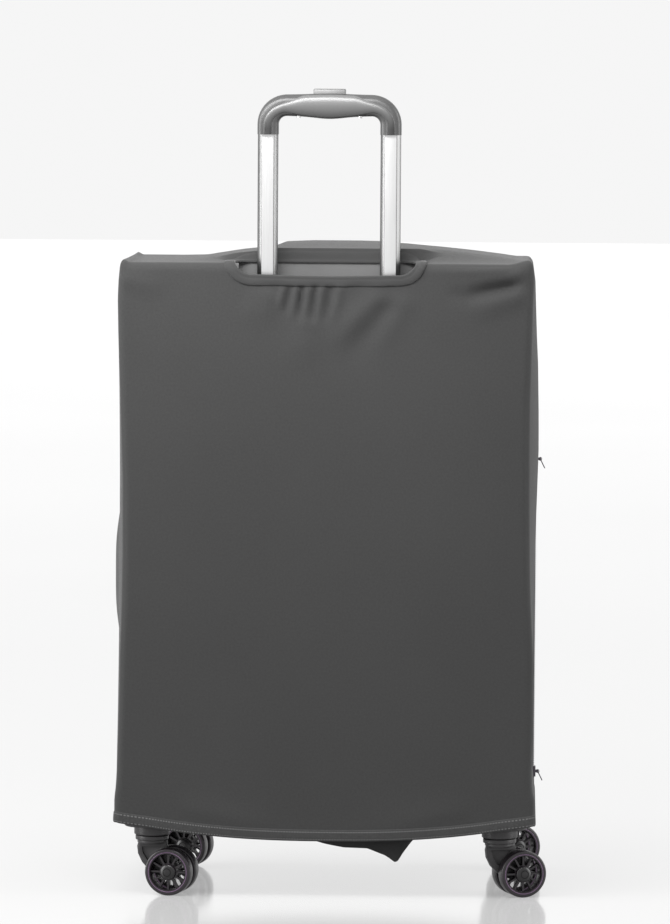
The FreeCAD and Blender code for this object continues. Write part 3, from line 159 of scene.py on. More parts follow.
def cut_with(piece, cutter):
    """Take a cutter's room out of a piece. The cutter stays."""
    finish_with(piece, "BOOLEAN", object=cutter, operation="DIFFERENCE", solver="EXACT")


def made_by(operator, name, **settings):
    """Run an operator that adds a primitive, and name what it added."""
    deselect()
    operator(**settings)
    piece = bpy.context.object
    piece.name = name
    return piece


def block(name, low, high):
    """A box primitive between two corners, as the start of a piece."""
    low, high = Vector(low), Vector(high)
    piece = made_by(bpy.ops.mesh.primitive_cube_add, name, size=1, location=(low + high) / 2)
    piece.scale = high - low
    return settle(piece)


def smooth(piece, angle=40):
    take(piece)
    bpy.ops.object.shade_smooth_by_angle(angle=math.radians(angle))
    return piece


def ease(value, start, end):
    """0 before start, 1 after end, and a smooth step between."""
    share = np.clip((value - start) / (end - start), 0, 1)
    return share * share * (3 - 2 * share)


# %% [markdown]
# ## Floor, light and camera
# A product shot on a pale ground: the floor is a large glossy sheet, and the world is plain
# white. The light is a soft overhead bank, two soft sides and a small key light close to the
# back, which brings out the upper folds. The camera is far away with a long lens, a little
# above the case's top, so upright edges stay upright.

# %% Floor and camera
# Lengths in metres, except the sensor's width, which is in millimetres.
CAMERA_DISTANCE = 6.0
CAMERA_HEIGHT = 0.9015
CAMERA_SIDE = 0.0085
CAMERA_TURN = math.radians(1.8)
CAMERA_PITCH = math.radians(4.18)
CAMERA_ROLL = math.radians(0.35)
VIEW_HEIGHT = 0.968
SENSOR = 36.0
FLOOR_SIDE = 40
WORLD_STRENGTH = 0.92

hem_low, hem_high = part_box("cover_hem")
near_plane = hem_low.y

floor = made_by(bpy.ops.mesh.primitive_plane_add, "floor", size=1, location=(0, 0, 0))
floor.scale = (FLOOR_SIDE, FLOOR_SIDE, 1)
settle(floor)

lens = SENSOR * CAMERA_DISTANCE / VIEW_HEIGHT
camera_data = bpy.data.cameras.new("camera")
camera_data.lens = lens
camera_data.sensor_width = SENSOR
camera_data.clip_end = 100
camera = bpy.data.objects.new("camera", camera_data)
scene.collection.objects.link(camera)
camera.location = (CAMERA_SIDE + CAMERA_DISTANCE * math.sin(CAMERA_TURN),
                   near_plane - CAMERA_DISTANCE * math.cos(CAMERA_TURN), CAMERA_HEIGHT)
look = Matrix.Rotation(CAMERA_TURN, 4, "Z")
look = look @ Matrix.Rotation(math.radians(90) - CAMERA_PITCH, 4, "X")
camera.rotation_euler = (look @ Matrix.Rotation(CAMERA_ROLL, 4, "Z")).to_euler()
scene.camera = camera
print("lens %.1f mm" % lens)

# %% Light
world = bpy.data.worlds.new("white room")
world.use_nodes = True
world.node_tree.nodes["Background"].inputs["Color"].default_value = (1, 1, 1, 1)
world.node_tree.nodes["Background"].inputs["Strength"].default_value = WORLD_STRENGTH
scene.world = world


def soft_light(name, place, target, width, height, power):
    """A rectangle of light turned to a target: metres and watts."""
    data = bpy.data.lights.new(name, "AREA")
    data.shape = "RECTANGLE"
    data.size = width
    data.size_y = height
    data.energy = power
    light = bpy.data.objects.new(name, data)
    scene.collection.objects.link(light)
    light.location = place
    light.rotation_euler = (Vector(target) - Vector(place)).to_track_quat("-Z", "Y").to_euler()


soft_light("overhead", (0, -0.4, 3.0), (0, 0, 0.4), 3.0, 2.0, 26)
soft_light("left_bank", (-2.6, -0.9, 1.2), (0, 0, 0.4), 1.4, 2.2, 76)
soft_light("right_bank", (2.6, -0.4, 1.2), (0, 0, 0.4), 1.4, 2.2, 48)
soft_light("key", (-0.22, -0.62, 1.10), (-0.04, -0.13, 0.60), 0.7, 0.2, 10.0)

# %% [markdown]
# ## A small language for finishes
# Shader maths is easier to read as Python: `Socket` wraps one output of a node and turns
# `+ - *` into Math nodes, and `Paint.node` adds any other node. Only colour, roughness and
# the normal vary over a surface; the rest are numbers set on the shader itself.

# %% Socket and Paint


class Socket:
    """One output socket that can stand in a Python expression."""

    def __init__(self, paint, socket):
        self.paint = paint
        self.socket = socket

    def maths(self, operation, other=0.0):
        return self.paint.node("ShaderNodeMath", {"operation": operation}, {0: self, 1: other})

    def __add__(self, other):
        return self.maths("ADD", other)

    def __sub__(self, other):
        return self.maths("SUBTRACT", other)

    def __mul__(self, other):
        return self.maths("MULTIPLY", other)


class Paint:
    """One finish: a Principled shader and what feeds it."""

    def __init__(self, name, colour, roughness, metallic=0.0, **fixed):
        self.material = bpy.data.materials.new(name)
        self.material.use_nodes = True
        self.tree = self.material.node_tree
        self.shader = self.tree.nodes["Principled BSDF"]
        self.shader.inputs["Base Color"].default_value = (*colour, 1)
        self.shader.inputs["Roughness"].default_value = roughness
        self.shader.inputs["Metallic"].default_value = metallic
        for words, value in fixed.items():
            title = words.replace("_", " ").title().replace("Ior", "IOR")
            self.shader.inputs[title].default_value = value

    def node(self, kind, settings=None, inputs=None, output=0):
        """Add a node: its settings first, then the values or links of its sockets."""
        made = self.tree.nodes.new(kind)
        for name, value in (settings or {}).items():
            setattr(made, name, value)
        for name, value in (inputs or {}).items():
            if isinstance(value, Socket):
                self.tree.links.new(value.socket, made.inputs[name])
            else:
                made.inputs[name].default_value = value
        return Socket(self, made.outputs[output])

    def place(self):
        """The piece's own coordinates, in metres."""
        return self.node("ShaderNodeTexCoord", output="Object")

    def uv(self):
        return self.node("ShaderNodeTexCoord", output="UV")

    def axes(self, vector):
        split = self.node("ShaderNodeSeparateXYZ", inputs={0: vector})
        return [Socket(self, split.socket.node.outputs[number]) for number in range(3)]

    def noise(self, vector, scale, detail=3.0, stretch=(1, 1, 1)):
        mapped = self.node("ShaderNodeMapping", inputs={"Vector": vector, "Scale": stretch})
        return self.node("ShaderNodeTexNoise", inputs={
            "Vector": mapped, "Scale": scale, "Detail": detail})

    def wave(self, value, period):
        """A sine of a length along the surface, from 0 to 1."""
        turned = (value * (2 * math.pi / period)).maths("SINE")
        return turned * 0.5 + 0.5

    def blend(self, mask, first, second):
        return self.node("ShaderNodeMix", {"data_type": "RGBA"},
                         {0: mask, 6: first, 7: second}, output=2)

    def tones(self, mask, grey, dark, light, tint=(0, 0, 0)):
        """A grey that a mask takes from a darker share of it to a lighter one."""
        return self.blend(mask, (*shade(grey * dark, tint), 1), (*shade(grey * light, tint), 1))

    def between(self, mask, first, second):
        """A number that goes from first to second with a mask."""
        return mask * (second - first) + first

    def feed(self, name, value):
        self.tree.links.new(value.socket, self.shader.inputs[name])

    def bump(self, height, depth, strength):
        bumped = self.node("ShaderNodeBump", inputs={
            "Height": height, "Distance": depth, "Strength": strength})
        self.feed("Normal", bumped)


def shade(grey, tint=(0, 0, 0)):
    """A linear colour from a screen grey between 0 and 255, with a small tint."""
    linear = (grey / 255) ** 2.2
    return tuple(max(0.0, linear * (1 + part)) for part in tint)


# %% [markdown]
# ## The finishes
# Stretch cloth is a fine jersey: ribs of loops less than a millimetre apart, a soft sheen
# and almost no gloss. Anodised tube is drawn lengthwise, so its scratches run along it. The
# moulded plastics have a fine spark-eroded grain. The jerseys are placed by UV maps and the
# rest by the piece's own coordinates; the tube and the silver grip also read which way the
# surface faces, and carry painted light: the tube's bevels are painted darker as shade, and
# the grip is painted darker below and lighter on top as a reflection.

# %% Cloth


def knit(name, grey, loop=0.0009):
    """Stretch jersey: rows of loops, a little uneven, with a soft sheen."""
    paint = Paint(name, shade(grey), 0.85, sheen_weight=0.13, sheen_roughness=0.4,
                  specular_ior_level=0.25)
    cloth = paint.uv()
    across, along, _ = paint.axes(cloth)
    ribs = paint.wave(across, loop)
    rows = paint.wave(along, loop * 0.8)
    loops = ribs * rows
    cloud = paint.noise(cloth, 6.0, 4.0)
    thread = paint.noise(cloth, 900.0, 2.0, (1, 0.25, 1))
    speck = paint.noise(cloth, 420.0, 3.0)
    mottle = cloud * 0.25 + thread * 0.25 + speck * 0.5
    paint.feed("Base Color", paint.tones(mottle, grey, 0.80, 1.20))
    paint.feed("Roughness", paint.between(thread, 0.78, 0.92))
    paint.bump(loops + thread * 0.6, 0.00018, 0.5)
    return paint.material


def woven(name, grey, thread=0.0012):
    """Plain weave on the piece's own coordinates: threads over and under."""
    roughness = 0.8
    paint = Paint(name, shade(grey), roughness, sheen_weight=0.05)
    x, y, z = paint.axes(paint.place())
    warp = paint.wave(x + y, thread)
    weft = paint.wave(z + y * 0.37, thread)
    cross = (warp - weft).maths("ABSOLUTE")
    fuzz = paint.noise(paint.place(), 700.0, 3.0)
    paint.feed("Base Color", paint.tones(cross * 0.6 + fuzz * 0.4, grey, 0.8, 1.15))
    paint.feed("Roughness", paint.between(fuzz, roughness - 0.1, roughness + 0.1))
    paint.bump(cross + fuzz * 0.3, 0.0003, 0.6)
    return paint.material


# %% Plastic and metal
LINE_SCALE = 2600.0
# Heights between which the silver grip goes from its painted shade to its painted reflection, in
# metres.
GRIP_PAINTED_LIGHT_FADE = (0.812, 0.842)


def moulded(name, grey, roughness, tint=(0, 0, 0), grain=0.00006, wear=0.06, **fixed):
    """Moulded plastic: a fine grain, and rubbed patches that are a little glossier."""
    paint = Paint(name, shade(grey, tint), roughness, **fixed)
    place = paint.place()
    fine = paint.noise(place, 1400.0, 2.0)
    patch = paint.noise(place, 35.0, 4.0)
    paint.feed("Base Color", paint.tones(patch, grey, 0.92, 1.08, tint))
    paint.feed("Roughness", paint.between(patch, roughness - wear, roughness + wear))
    paint.bump(fine, grain, 0.5)
    return paint.material


def drawn_metal(name, grey, roughness):
    """Drawn steel: hair-fine lines along its length."""
    paint = Paint(name, shade(grey), roughness, 1.0)
    lines = paint.noise(paint.place(), LINE_SCALE, 3.0, (1, 1, 0.1))
    patch = paint.noise(paint.place(), 25.0, 3.0)
    paint.feed("Base Color", paint.tones(lines, grey, 0.95, 1.03))
    paint.feed("Roughness", paint.between(lines * 0.5 + patch * 0.5,
                                          roughness - 0.07, roughness + 0.07))
    paint.bump(lines, 0.00002, 0.4)
    return paint.material


def stitched(name, grey, rows, count):
    """The hem's jersey with dashed rows of thread, placed by the strip's own UV map."""
    paint = Paint(name, shade(grey), 0.85, sheen_weight=0.05, specular_ior_level=0.25)
    along, across, _ = paint.axes(paint.uv())
    dash = (along * (2 * math.pi * count)).maths("SINE").maths("GREATER_THAN", -0.2)
    line = 0.0
    for row in rows:
        near = (across - row).maths("ABSOLUTE").maths("LESS_THAN", 0.03)
        line = near + line
    thread = dash * line
    fuzz = paint.noise(paint.place(), 500.0, 3.0)
    cloth = paint.tones(fuzz, grey, 0.8, 1.2)
    paint.feed("Base Color", paint.blend(thread, cloth, (*shade(grey * 1.75), 1)))
    paint.bump(thread + fuzz * 0.2, 0.0004, 0.7)
    return paint.material


def metal_with_painted_bevel_shade(name, front, side, roughness):
    """Anodised tube: lighter on the flat faces, and darker on the bevelled ones as painted shade.
    """
    paint = Paint(name, shade(front), roughness, 1.0)
    normal = paint.node("ShaderNodeNewGeometry", output="Normal")
    x, _, _ = paint.axes(normal)
    # Faces turned sideways (the bevels) get the darker grey as painted shade.
    turned = x.maths("ABSOLUTE").maths("GREATER_THAN", 0.3)
    lines = paint.noise(paint.place(), LINE_SCALE, 3.0, (1, 1, 0.012))
    bright = paint.tones(lines, front, 0.97, 1.02)
    bevel_painted_shade = paint.tones(lines, side, 0.92, 1.06)
    paint.feed("Base Color", paint.blend(turned, bright, bevel_painted_shade))
    paint.feed("Roughness", paint.between(lines, roughness - 0.05, roughness + 0.06))
    paint.bump(lines, 0.00002, 0.3)
    return paint.material


def silver_with_painted_reflection(name, top, low, roughness):
    """Silver paint on the grip, darker below and lighter on top: a painted reflection of the white
    room above and of the dark cloth below.
    """
    paint = Paint(name, shade(top), roughness, 0.35)
    _, _, nz = paint.axes(paint.node("ShaderNodeNewGeometry", output="Normal"))
    _, _, z = paint.axes(paint.place())
    flake = paint.noise(paint.place(), 1800.0, 2.0)
    # Colour by height and by faces turned up: painted shade below, painted reflection on top.
    share = paint.node("ShaderNodeMapRange", inputs={
        0: z + nz * 0.004, 1: GRIP_PAINTED_LIGHT_FADE[0], 2: GRIP_PAINTED_LIGHT_FADE[1], 3: 0.0, 4: 1.0})
    share = share * 0.85 + flake * 0.15
    paint.feed("Base Color", paint.blend(share, (*shade(low), 1), (*shade(top), 1)))
    paint.feed("Roughness", paint.between(flake, roughness - 0.05, roughness + 0.08))
    paint.bump(flake, 0.00002, 0.4)
    return paint.material


cover_cloth = knit("stretch_cloth", 52)
band_cloth = knit("stretch_cloth_band", 54, loop=0.0011)
hem_cloth = stitched("stretch_cloth_hem", 53, (0.36, 0.72), 520)
black_cloth = woven("black_flap_cloth", 12)
case_cloth = woven("case_nylon", 48, thread=0.0016)
lining_cloth = woven("lining_cloth", 120, thread=0.0007)
webbing = woven("webbing", 52, thread=0.0022)
tape_cloth = woven("zip_tape", 34, thread=0.0008)
# The tube's bevels are painted in the darker grey, 112, as shade.
tube_metal = metal_with_painted_bevel_shade("anodised_tube", 222, 112, 0.30)
steel = drawn_metal("bright_steel", 180, 0.35)
dark_metal = moulded("enamelled_slider", 74, 0.35, (0.05, -0.1, 0.12), grain=0.00002)
black_plastic = moulded("black_plastic", 40, 0.5)
caster_plastic = moulded("caster_plastic", 44, 0.45, (0.02, -0.04, 0.02))
wheel_plastic = moulded("wheel_plastic", 30, 0.34, (0.10, -0.20, 0.08))
# Light purple rings painted on the wheels as the highlights along their rim edges.
rim_highlight_paint = moulded("wheel_rim_ring", 96, 0.3, (0.2, -0.35, 0.3), grain=0.00001)
hub_plastic = moulded("wheel_hub_cap", 24, 0.32, (0.0, -0.1, 0.0), grain=0.00001)
blackened = drawn_metal("blackened_steel", 40, 0.45)
cup_plastic = moulded("cup_plastic", 92, 0.5, grain=0.0002, wear=0.1)
grip_dark = moulded("grip_dark_shell", 58, 0.36)
# Its silver is painted from 42 below to 100 on top, as shade and reflection.
grip_silver = silver_with_painted_reflection("grip_silver_shell", 100, 42, 0.34)

plain_floor = Paint("pale_floor", shade(123), 0.12, specular_ior_level=0.3,
                    emission_color=(1, 1, 1, 1), emission_strength=0.34)
soft = plain_floor.noise(plain_floor.place(), 0.6)
plain_floor.feed("Roughness", plain_floor.between(soft, 0.09, 0.15))
floor.data.materials.append(plain_floor.material)


def clothe(piece, material):
    piece.data.materials.clear()
    piece.data.materials.append(material)
    return piece


# %% [markdown]
# ## The cover's form
# The cover is drawn first as a sharp box, cut by many planes into small squares, because
# places are easy to say on a box: so far across, so far down. One function, `drape`, then
# takes any point of that box to its place on the worn cover: rounded edges, sides that
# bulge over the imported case, the tent over the carry handles and the pulled folds. Whatever
# is sewn on the cover (band and hem) is drawn on the same box and draped by the same
# function, so it always lies on the cloth.

# %% Sizes of the sharp box
case_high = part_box("tray_shell")[1]
bezel_low, bezel_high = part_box("handle_bezel")
carry_low, carry_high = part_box("top_carry_handle")
side_low, side_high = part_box("side_carry_handle")
zip_low, zip_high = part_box("cover_zip")

# The cloth's thickness, then the sharp box: half its width and depth, its top and lower
# edge, and the radii of its rounded edges. The opening is measured from the back's top edge.
CLOTH = 1.2 * MM
HALF = case_high.x + 1.6 * MM
DEEP = hem_high.y
TOP = case_high.z + 1.5 * MM
HEM = hem_low.z - 0.5 * MM
EDGES = np.array([6, 7, 9]) * MM
SLOT_LEFT = -99 * MM
SLOT_RIGHT = 93 * MM
SLOT_DOWN = -13 * MM
SLOT_UP = 38 * MM
SLOT_CORNER = 18 * MM
LIP = 14 * MM


def on_box(across, up):
    """Points near the handle opening, by x and by the way up the back and over the top."""
    across, up = np.broadcast_arrays(np.asarray(across, float), np.asarray(up, float))
    y = np.where(up < 0, -DEEP, -DEEP + up)
    z = np.where(up < 0, TOP + up, TOP)
    return np.column_stack([across.ravel(), y.ravel(), z.ravel()])


# Half widths of the cover in mm at heights in mm: its back edges, and its bulging middles.
LEFT_EDGE = [(60, 223), (89, 222.8), (104, 221), (125, 219.6), (157, 218.9), (188, 218),
             (220, 217.2), (252, 216.6), (283, 215.4), (314, 214.5), (364, 213.6), (445, 213.9),
             (472, 215), (504, 216.2), (535, 217.3), (566, 218.6), (598, 219.8), (630, 220.7),
             (652, 220.4), (666, 219), (674, 218)]
RIGHT_EDGE = [(60, 221.4), (89, 221.3), (94, 220.9), (104, 218.6), (125, 217.8), (157, 218.4),
              (188, 219.2), (220, 218.6), (252, 218.7), (272, 217.5), (314, 214.6), (356, 213),
              (420, 211.6), (472, 210.9), (528, 211.2), (584, 213.2), (630, 214.6), (655, 216.2),
              (674, 215)]
LEFT_MIDDLE = [(60, 224), (130, 225), (250, 224.4), (330, 224.6), (430, 224.6), (600, 224),
               (640, 223), (672, 216)]
RIGHT_MIDDLE = [(60, 221.6), (90, 221.4), (120, 219.2), (320, 219.2), (350, 219.6), (385, 220.4),
                (425, 221.6), (470, 222.8), (510, 222.4), (560, 221.4), (590, 219.9), (620, 218.8),
                (650, 217.8), (672, 214.5)]
# Height of the tent over the case's top along x, all in mm.
TENT = [(-190, 0), (-163, 0), (-141, 1.6), (-120, 5.4), (-98, 9.0), (-88, 10.2), (-64, 12.5),
        (-48, 17.0), (-20, 18.2), (30, 18.2), (50, 17.8), (64, 16.4), (79, 15.8), (116, 13.2),
        (138, 11.2), (159, 8.8), (181, 6.0), (197, 3.4), (207, 1.6), (214, 0)]
HANDLE_BULGE = 6.4 * MM


def read_off(table, values):
    """Straight-line reading of a table in mm, for values in metres."""
    places, heights = np.array(table, float).T * MM
    return np.interp(values, places, heights)


# Folds pulled in the back panel: start, end, half width, height (a valley is below 0).
FOLDS = [
    ((-47, 646), (-52, 618), 2.8, 2.2),
    ((-40, 646), (-46, 612), 2.6, -2.2),
    ((-33, 647), (-38, 606), 3.0, 2.6),
    ((-27, 647), (-31, 610), 2.6, -2.4),
    ((-20, 647), (-25, 598), 3.2, 2.6),
    ((-13, 648), (-17, 606), 2.6, -2.2),
    ((-6, 648), (-11, 600), 3.4, 2.4),
    ((3, 648), (-3, 604), 3.6, -1.9),
    ((14, 649), (2, 598), 4.4, 1.9),
    ((-60, 642), (-86, 596), 12.0, 2.2),
    ((-20, 612), (-28, 550), 14.0, 1.8),
    ((58, 640), (-8, 572), 11.0, 3.4),
    ((66, 630), (10, 560), 10.0, -3.2),
    ((84, 636), (36, 570), 11.0, 2.0),
    ((198, 650), (128, 634), 5.2, -6.0),
    ((206, 661), (120, 654), 7.0, 3.4),
    ((204, 640), (130, 616), 10.0, 2.6),
    ((190, 668), (105, 663), 4.0, 2.2),
    ((-210, 655), (-165, 640), 9.0, 2.0),
    ((-213, 640), (-196, 540), 7.0, 1.6),
    ((-150, 90), (-20, 74), 9.0, 1.2),
    ((150, 92), (20, 72), 10.0, 1.2),
]


def fold_height(x, z):
    """The sum of the pulled folds at each point of the back panel."""
    total = np.zeros_like(x)
    for start, end, wide, high in FOLDS:
        start, end = np.array(start) * MM, np.array(end) * MM
        run = end - start
        length = np.hypot(*run)
        along = ((x - start[0]) * run[0] + (z - start[1]) * run[1]) / length
        off = ((x - start[0]) * run[1] - (z - start[1]) * run[0]) / length
        spread = wide * MM * (1 + 0.6 * np.clip(along / length, 0, 1))
        fade = ease(along, -0.1 * length, 0.12 * length) * (1 - ease(along, 0.35 * length, length))
        total += high * MM * fade * np.exp(-(off / spread) ** 2)
    return total


def hem_line(x, y):
    """How high the cover's lower edge is pulled up at each place round it."""
    back = 18 * MM * np.abs(np.clip(x / HALF, -1, 1)) ** 2.4
    side = 11 * MM + 7 * MM * np.abs(np.clip(y / DEEP, -1, 1)) ** 2
    on_side = ease(np.abs(x), HALF - 6 * MM, HALF)
    return back * (1 - on_side) + side * on_side


def drape(points, lift=0.0):
    """Take points of the sharp box to the worn cover, lifted off it by a distance."""
    p = np.array(points, float)
    lift = np.broadcast_to(np.asarray(lift, float), (len(p),))
    x0, y0, z0 = p.T.copy()
    core = np.column_stack([
        np.clip(x0, -HALF + EDGES[0], HALF - EDGES[0]),
        np.clip(y0, -DEEP + EDGES[1], DEEP - EDGES[1]),
        np.minimum(z0, TOP - EDGES[2]),
    ])
    out = (p - core) / EDGES
    length = np.linalg.norm(out, axis=1)
    length[length == 0] = 1
    out /= length[:, None]
    q = core + out * (EDGES + lift[:, None])

    side = np.sign(x0)
    sideways = ease(np.abs(x0), HALF - 34 * MM, HALF)
    edge = np.where(x0 < 0, read_off(LEFT_EDGE, z0), read_off(RIGHT_EDGE, z0))
    middle = np.where(x0 < 0, read_off(LEFT_MIDDLE, z0), read_off(RIGHT_MIDDLE, z0))
    arc = (1 - np.clip(y0 / DEEP, -1, 1) ** 2) ** 0.8
    q[:, 0] += side * sideways * (edge - HALF + (middle - edge) * arc)
    mid_handle = (side_low.z + side_high.z) / 2
    over = np.exp(-(y0 / (26 * MM)) ** 2) * np.exp(-((z0 - mid_handle) / (62 * MM)) ** 4)
    q[:, 0] -= np.where(x0 < 0, sideways * over * HANDLE_BULGE, 0)
    beside = np.exp(-(y0 / (7 * MM)) ** 4) * (x0 > 0)
    above_zip = ease(z0, zip_high.z, zip_high.z + 15 * MM)
    beside *= ease(z0, zip_low.z - 12 * MM, zip_low.z) * (1 - above_zip)
    dip = np.maximum(q[:, 0] - (zip_low.x + 0.2 * MM + lift), 0)
    q[:, 0] -= beside * dip

    height = np.clip((z0 - HEM) / (TOP - HEM), 0, 1)
    face_y = ease(np.abs(y0), DEEP - 12 * MM, DEEP)
    pillow = (1 - np.clip(x0 / HALF, -1, 1) ** 4) * np.sin(math.pi * height) ** 0.6
    q[:, 1] += np.sign(y0) * face_y * pillow * 2.0 * MM
    q[:, 1] -= face_y * (y0 < 0) * fold_height(x0, z0)
    flare = np.exp(-(z0 - HEM) / (20 * MM))
    q[:, 1] += np.sign(y0) * face_y * flare * 1.2 * MM

    on_top = ease(z0, TOP - 12 * MM, TOP)
    from_slot = y0 + DEEP - SLOT_UP
    step = np.clip(from_slot / LIP, 0, 1)
    past_slot = ease(np.abs(x0 + 3 * MM), 96 * MM, 122 * MM)
    far_step = ease(y0, -DEEP, -DEEP + 75 * MM)
    fall = 1 - ease(y0, carry_high.y + 4 * MM, DEEP - 4 * MM)
    tent = read_off(TENT, x0)
    crown = 1.5 * MM * np.exp(-(y0 / (24 * MM)) ** 2) * ease(tent, 12 * MM, 17 * MM)
    rear = step * (1 - past_slot) + far_step * past_slot
    carried = ease(y0, -80 * MM, -25 * MM)
    shared = np.minimum(tent, 14.5 * MM) + np.maximum(tent - 14.5 * MM, 0) * carried
    q[:, 2] += on_top * fall * (shared * rear + crown)
    far_left = ease(-x0, 115 * MM, 140 * MM) * ease(y0, DEEP - 45 * MM, DEEP - 12 * MM)
    q[:, 2] -= on_top * far_left * 2.6 * MM
    lean = step * (1 - past_slot) * (1 - ease(y0, -DEEP + SLOT_UP + LIP, -20 * MM))
    q[:, 1] -= on_top * lean * 10.5 * MM * np.minimum(tent / (12 * MM), 1)

    ear = ease(x0, 188 * MM, 212 * MM) * (1 - ease(y0, -DEEP + 12 * MM, -DEEP + 75 * MM)) * 5.0 * MM
    ear += ease(-x0, 205 * MM, 213 * MM) * 4.5 * MM
    q[:, 2] += ear * ease(z0, TOP - 26 * MM, TOP - 2 * MM)
    sag = 1 - ease(np.abs(x0), 0, 90 * MM)
    under_band = ease(z0, TOP - 34 * MM, TOP - 14 * MM)
    q[:, 2] -= face_y * (y0 < 0) * sag * under_band * (1 - on_top) * 1.5 * MM

    lower = 1 - ease(z0, HEM, HEM + 120 * MM)
    q[:, 2] += lower * hem_line(x0, y0)
    return q


# %% [markdown]
# ### Cutting the box
# A cube is added, its floor is deleted and it is bisected by planes: closer together near
# the top, where the pulled folds are, and near the edges, which are rounded next. The faces
# inside the handle opening go, and the edge that is left is drawn on to the opening's line.

# %% The cover's cloth


def grid_lines(low, high, step, fine, reach):
    """Places from low to high: fine steps within reach of both ends, wider ones between."""
    ends = np.arange(fine, reach, fine)
    middle = np.linspace(low + reach, high - reach, int((high - low - 2 * reach) / step) + 1)
    return np.concatenate([low + ends, middle, high - ends[::-1]])


def bisect_all(piece, axis, places):
    take(piece)
    bpy.ops.object.mode_set(mode="EDIT")
    normal = [0, 0, 0]
    normal[axis] = 1
    for place in places:
        centre = [0, 0, 0]
        centre[axis] = place
        bpy.ops.mesh.select_all(action="SELECT")
        bpy.ops.mesh.bisect(plane_co=centre, plane_no=normal)
    leave_edit()


def slot_distance(x, up):
    """Signed distance to the opening's rounded line: below 0 inside it."""
    centre = np.array([(SLOT_LEFT + SLOT_RIGHT) / 2, (SLOT_DOWN + SLOT_UP) / 2])
    half = np.array([(SLOT_RIGHT - SLOT_LEFT) / 2, (SLOT_UP - SLOT_DOWN) / 2]) - SLOT_CORNER
    dx = np.abs(x - centre[0]) - half[0]
    dy = np.abs(up - centre[1]) - half[1]
    outside = np.hypot(np.maximum(dx, 0), np.maximum(dy, 0))
    return outside + np.minimum(np.maximum(dx, dy), 0) - SLOT_CORNER


def way_up(points):
    """How far up the back and over the top a point of the sharp box is."""
    return np.where(points[:, 1] > -DEEP + 1e-6, points[:, 1] + DEEP, points[:, 2] - TOP)


cover = block("cover_cloth_shell", (-HALF, -DEEP, HEM), (HALF, DEEP, TOP))
select_where(cover, lambda centre, normal: normal.z < -0.5)
bpy.ops.mesh.delete(type="FACE")
leave_edit()
# Across, the squares are finest where the upright gathers and the right corner's folds are.
GATHERS_LEFT, GATHERS_RIGHT, CORNER_FOLDS = -66 * MM, 30 * MM, 130 * MM
upper = TOP - 90 * MM
bisect_all(cover, 0, np.concatenate([
    grid_lines(-HALF, GATHERS_LEFT, 5.0 * MM, 2.2 * MM, 15 * MM)[:-6],
    np.arange(GATHERS_LEFT, GATHERS_RIGHT, 2.5 * MM),
    np.arange(GATHERS_RIGHT, CORNER_FOLDS, 5 * MM),
    grid_lines(CORNER_FOLDS, HALF, 3.2 * MM, 2.2 * MM, 15 * MM)[6:],
]))
bisect_all(cover, 1, grid_lines(-DEEP, DEEP, 8.0 * MM, 2.6 * MM, 20 * MM))
bisect_all(cover, 1, np.arange(-DEEP + SLOT_UP, -DEEP + SLOT_UP + 18 * MM, 2.6 * MM))
bisect_all(cover, 2, np.concatenate([
    np.arange(HEM + 4 * MM, HEM + 26 * MM, 4 * MM),
    np.arange(HEM + 30 * MM, upper, 9 * MM),
    np.arange(upper, TOP - 1 * MM, 2.6 * MM),
]))
select_where(cover, lambda centre, normal: (
    (normal.y < -0.5 or normal.z > 0.5)
    and slot_distance(centre.x, way_up(np.array([centre]))[0]) < 0))
bpy.ops.mesh.delete(type="FACE")
leave_edit()

box_points = points_of(cover)
uses = {}
for face in cover.data.polygons:
    for key in face.edge_keys:
        uses[key] = uses.get(key, 0) + 1
rim = {number for key, count in uses.items() if count == 1 for number in key}
for number in rim:
    x, y, z = box_points[number]
    if z < HEM + 1 * MM:
        continue
    up = way_up(box_points[number:number + 1])[0]
    for _ in range(4):
        here = slot_distance(x, up)
        nudge = 0.05 * MM
        slope_x = (slot_distance(x + nudge, up) - here) / nudge
        slope_up = (slot_distance(x, up + nudge) - here) / nudge
        x, up = x - here * slope_x, up - here * slope_up
    box_points[number] = on_box(x, up)[0]
set_points(cover, box_points)

edit_all(cover)
bpy.ops.uv.cube_project(cube_size=1.0, scale_to_bounds=False)
leave_edit()
set_points(cover, drape(box_points))
finish_with(cover, "SOLIDIFY", thickness=CLOTH, offset=-1)
smooth(cover, 60)
clothe(cover, cover_cloth)
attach(cover, "case")
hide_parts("cover")
print("cover:", len(cover.data.polygons), "faces")

# %% [markdown]
# ### Band and hem
# The opening is bound with a stitched band, and the lower edge is turned up and stitched
# twice. Each is a grid primitive whose rows are laid on the sharp box and draped with a
# small lift; the grid's own UV map then runs along the strip and across it, which is what
# the stitches are drawn with.

# %% Strips on the cover


def laid_grid(name, rows, closed):
    """A grid primitive laid out on rows of points; a closed one is welded to itself."""
    rows = np.array(rows, float)
    if closed:
        rows = np.concatenate([rows, rows[:, :1]], axis=1)
    count, length = rows.shape[:2]
    piece = made_by(bpy.ops.mesh.primitive_grid_add, name, x_subdivisions=length - 1,
                    y_subdivisions=count - 1, size=1)
    flat = points_of(piece)
    order = np.lexsort((np.round(flat[:, 0], 6), np.round(flat[:, 1], 6)))
    placed = np.empty_like(flat)
    placed[order] = rows.reshape(-1, 3)
    set_points(piece, placed)
    if closed:
        edit_all(piece)
        bpy.ops.mesh.remove_doubles(threshold=0.00001)
        leave_edit()
    return piece


def strip(name, rows, material, closed, thickness):
    """A thin piece of cloth laid out on rows of points."""
    piece = laid_grid(name, rows, closed)
    finish_with(piece, "SOLIDIFY", thickness=thickness, offset=0)
    face_outwards(piece)
    smooth(piece, 50)
    clothe(piece, material)
    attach(piece, "case")
    return piece


